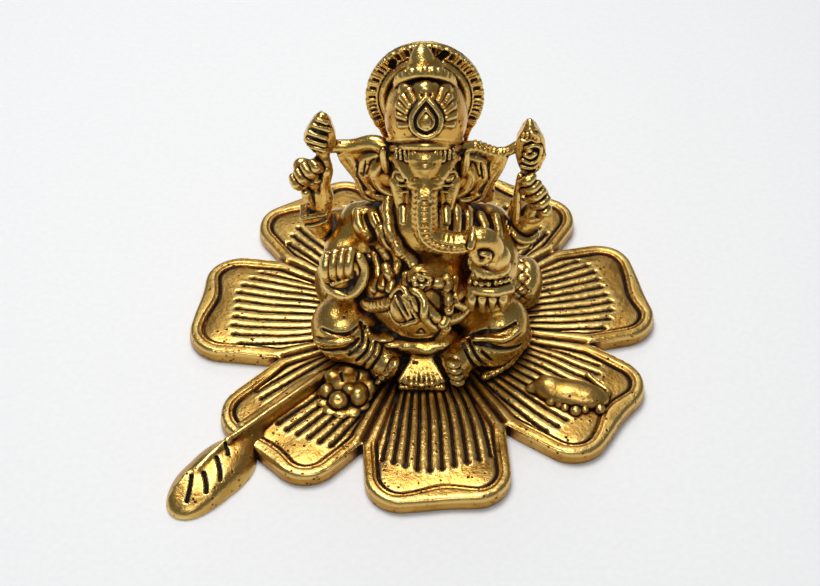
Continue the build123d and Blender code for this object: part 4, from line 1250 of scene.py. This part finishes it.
def gold_plated_casting(name, bright, amber, wash, gloss, pit_size, residue):
    """Aluminium alloy, cast in a mould, polished, plated with gold colour and antiqued.

    To the eye: a warm mirror broken up by the casting's own unevenness, pin-hole pits from gas, and a
    black-brown wash that was wiped off the high places and stays in every recess; the same dark colour
    also paints shade where nearby parts and broad hollows close over the surface.
    """
    m = new_material(name)
    place = add_node(m, "ShaderNodeTexCoord", {})
    # where the plating took warmer or cooler, in patches about 14 mm wide
    patches = add_node(m, "ShaderNodeTexNoise", {"Scale": per_mm(14), "Detail": 3.0},
                       {"Vector": (place, "Object")})
    # real polishing marks are about 0.05 mm apart; drawn at 1.1 mm so that they show
    grain = add_node(m, "ShaderNodeTexNoise", {"Scale": per_mm(1.1), "Detail": 4.0, "Roughness": 0.65},
                     {"Vector": (place, "Object")})
    smear = add_node(m, "ShaderNodeTexNoise", {"Scale": per_mm(3.4), "Detail": 4.0, "Roughness": 0.6},
                     {"Vector": (place, "Object")})
    pits = add_node(m, "ShaderNodeTexVoronoi", {"Scale": per_mm(pit_size)}, {"Vector": (place, "Object")})
    pit_hole = add_node(m, "ShaderNodeMapRange",
                        {"From Min": 0.14, "From Max": 0.30, "To Min": 1.0, "To Max": 0.0},
                        {"Value": (pits, "Distance")})
    pit_zone = add_node(m, "ShaderNodeMapRange", {"From Min": 0.50, "From Max": 0.60},
                        {"Value": (smear, "Fac")})
    pitted = add_node(m, "ShaderNodeMath", {"operation": "MULTIPLY"},
                      {0: (pit_hole, "Result"), 1: (pit_zone, "Result")})

    tarnish = add_node(m, "ShaderNodeAttribute", {"attribute_name": "tarnish"})
    rub = add_node(m, "ShaderNodeAttribute", {"attribute_name": "rub"})
    uneven = add_node(m, "ShaderNodeMath", {"operation": "MULTIPLY_ADD", 1: 0.34, 2: -0.17},
                      {0: (grain, "Fac")})
    blotch = add_node(m, "ShaderNodeMath", {"operation": "MULTIPLY_ADD", 1: 0.5, 2: -0.25},
                      {0: (smear, "Fac")})
    broken = add_node(m, "ShaderNodeMath", {"operation": "ADD"}, {0: (uneven, 0), 1: (blotch, 0)})
    # how dark the wash and the painted shade make this point, broken up by noise
    held = add_node(m, "ShaderNodeMath", {"operation": "ADD"}, {0: (tarnish, "Fac"), 1: (broken, 0)})
    wash_and_shade_level = add_node(m, "ShaderNodeMapRange", {"From Min": 0.30, "From Max": 0.80}, {"Value": (held, 0)})
    dark = add_node(m, "ShaderNodeMath", {"operation": "MAXIMUM"}, {0: (wash_and_shade_level, "Result"), 1: (pitted, 0)})

    tone = add_node(m, "ShaderNodeValToRGB", {"stops": [(0.36, linear(amber)), (0.62, linear(bright))]},
                    {"Fac": (patches, "Fac")})
    polished = add_node(m, "ShaderNodeMix", {"data_type": "RGBA", 7: linear("#EBCB7C")},
                        {0: (rub, "Fac"), 6: (tone, "Color")})
    # the darkest stop stands for both the black-brown wash and painted shade
    shade = add_node(m, "ShaderNodeValToRGB",
                     {"stops": [(0.0, WHITE), (0.30, linear("#D6B070")), (0.70, linear("#8A5E2C")),
                                (1.0, linear(wash))]}, {"Fac": (dark, 0)})
    colour = add_node(m, "ShaderNodeMix", {"data_type": "RGBA", "blend_type": "MULTIPLY", 0: 1.0},
                      {6: (polished, 2), 7: (shade, "Color")})
    # powdery grey residue of the wash, in the deep places
    dust = add_node(m, "ShaderNodeMapRange", {"From Min": 0.56, "From Max": 0.70, "To Max": residue},
                    {"Value": (smear, "Fac")})
    caught = add_node(m, "ShaderNodeMath", {"operation": "MULTIPLY"}, {0: (dust, "Result"), 1: (dark, 0)})
    dusted = add_node(m, "ShaderNodeMix", {"data_type": "RGBA", 7: linear("#7E7767")},
                      {0: (caught, 0), 6: (colour, 2)})
    dull = add_node(m, "ShaderNodeMapRange", {"To Min": gloss, "To Max": 0.62}, {"Value": (dark, 0)})
    rough = add_node(m, "ShaderNodeMath", {"operation": "MULTIPLY_ADD", 1: 0.16},
                     {0: (grain, "Fac"), 2: (dull, "Result")})
    metal = add_node(m, "ShaderNodeMapRange", {"To Min": 1.0, "To Max": 0.5}, {"Value": (dark, 0)})

    # bumps: gas pits, marks and a slow unevenness; each a fraction of a millimetre high
    waves = add_node(m, "ShaderNodeBump", {"Strength": 0.55, "Distance": 0.55 * MM},
                     {"Height": (smear, "Fac")})
    marks = add_node(m, "ShaderNodeBump", {"Strength": 0.45, "Distance": 0.16 * MM},
                     {"Height": (grain, "Fac"), "Normal": (waves, "Normal")})
    holes = add_node(m, "ShaderNodeBump", {"Strength": 0.8, "Distance": 0.25 * MM, "invert": True},
                     {"Height": (pitted, 0), "Normal": (marks, "Normal")})
    shader = add_node(m, "ShaderNodeBsdfPrincipled", {},
                      {"Base Color": (dusted, 2), "Roughness": (rough, 0), "Metallic": (metal, "Result"),
                       "Normal": (holes, "Normal")})
    add_node(m, "ShaderNodeOutputMaterial", {}, {"Surface": (shader, "BSDF")})
    return m


def zinc_plated_steel():
    """Cold-headed steel, zinc plated: grey with a slightly blue, cloudy shine."""
    m = new_material("zinc_plated_steel")
    place = add_node(m, "ShaderNodeTexCoord", {})
    cloud = add_node(m, "ShaderNodeTexNoise", {"Scale": per_mm(2.5), "Detail": 5.0},
                     {"Vector": (place, "Object")})
    tone = add_node(m, "ShaderNodeValToRGB", {"stops": [(0.35, linear("#8F959C")), (0.7, linear("#C6CBD0"))]},
                    {"Fac": (cloud, "Fac")})
    rough = add_node(m, "ShaderNodeMapRange", {"To Min": 0.28, "To Max": 0.5}, {"Value": (cloud, "Fac")})
    bump = add_node(m, "ShaderNodeBump", {"Strength": 0.2, "Distance": 0.05 * MM}, {"Height": (cloud, "Fac")})
    shader = add_node(m, "ShaderNodeBsdfPrincipled", {"Metallic": 1.0},
                      {"Base Color": (tone, "Color"), "Roughness": (rough, "Result"),
                       "Normal": (bump, "Normal")})
    add_node(m, "ShaderNodeOutputMaterial", {}, {"Surface": (shader, "BSDF")})
    return m


def studio_paper():
    """Matt white paper, rolled out: an even pale floor."""
    m = new_material("studio_paper")
    place = add_node(m, "ShaderNodeTexCoord", {})
    fibres = add_node(m, "ShaderNodeTexNoise", {"Scale": per_mm(2.0), "Detail": 4.0},
                      {"Vector": (place, "Object")})
    tone = add_node(m, "ShaderNodeValToRGB", {"stops": [(0.3, linear("#F4F4F4")), (0.7, linear("#F8F8F8"))]},
                    {"Fac": (fibres, "Fac")})
    shader = add_node(m, "ShaderNodeBsdfPrincipled", {"Roughness": 0.9, "Specular IOR Level": 0.1},
                      {"Base Color": (tone, "Color")})
    add_node(m, "ShaderNodeOutputMaterial", {}, {"Surface": (shader, "BSDF")})
    return m


def finish_pieces():
    """Gives every casting its gilt, and the screws and washers their zinc."""
    finishes = {
        "gilt_dish": gold_plated_casting("gold_plated_aluminium_dish", bright="#C0964A", amber="#A87A32",
                                         wash="#1E140A", gloss=0.23, pit_size=1.9, residue=0.25),
        # the idol is polished further, and its recesses hold more of the grey residue
        "gilt_idol": gold_plated_casting("gold_plated_aluminium_idol", bright="#E2B65A", amber="#C9923C",
                                         wash="#21160B", gloss=0.17, pit_size=2.6, residue=0.75),
    }
    for piece, slot in CASTINGS:
        piece.data.materials.append(finishes[slot])
    zinc = zinc_plated_steel()
    for name in ("fixing_screws", "screw_washers"):
        for slot in bpy.data.objects[name].material_slots:
            slot.material = zinc


build_dish()
build_stem_leaf()
build_blossom()
build_mouse()
build_body()
build_bolster()
build_head()
build_halo()
build_raised_right_arm()
build_raised_left_arm()
paint_wash_and_shade([piece for piece, _ in CASTINGS])
finish_pieces()

# ------------------------------------------------------------------ studio

IDOL_MIDDLE = Vector((0, 0, 0.04))
CAMERA_PLACE, CAMERA_DOWN = (0, -0.3890, 0.4028), 46  # metres, and degrees below the horizon


def soft_box(name, place, width, height, power):
    """A rectangular soft light that faces the idol's middle."""
    light = bpy.data.lights.new(name, "AREA")
    light.shape, light.size, light.size_y = "RECTANGLE", width, height
    light.energy = power
    lamp = bpy.data.objects.new(name, light)
    lamp.location = place
    lamp.rotation_euler = (IDOL_MIDDLE - Vector(place)).to_track_quat("-Z", "Y").to_euler()
    bpy.context.scene.collection.objects.link(lamp)


def studio():
    """Paper floor, three soft boxes, pale air and the camera."""
    bpy.ops.mesh.primitive_plane_add(size=6)
    floor = bpy.context.object
    floor.name = "floor"
    floor.data.materials.append(studio_paper())
    soft_box("overhead", (-0.12, 0.20, 1.0), 0.50, 0.42, 6.9)
    soft_box("behind", (0.0, 0.80, 0.80), 0.60, 0.35, 1.1)
    soft_box("front", (0.0, -0.66, 0.92), 0.50, 0.36, 2.6)

    world = bpy.data.worlds.new("studio_air")
    world.use_nodes = True
    world.node_tree.nodes["Background"].inputs["Color"].default_value = linear("#BFC3C8")
    world.node_tree.nodes["Background"].inputs["Strength"].default_value = 0.30
    bpy.context.scene.world = world
    bpy.context.scene.view_settings.view_transform = "Standard"

    camera = bpy.data.cameras.new("camera")
    camera.sensor_width, camera.lens = 36, 70.07
    camera.shift_x, camera.shift_y = -13 / 820, 38 / 820
    eye = bpy.data.objects.new("camera", camera)
    eye.location = CAMERA_PLACE
    eye.rotation_euler = (math.radians(90 - CAMERA_DOWN), 0, 0)
    bpy.context.scene.collection.objects.link(eye)
    bpy.context.scene.camera = eye


studio()
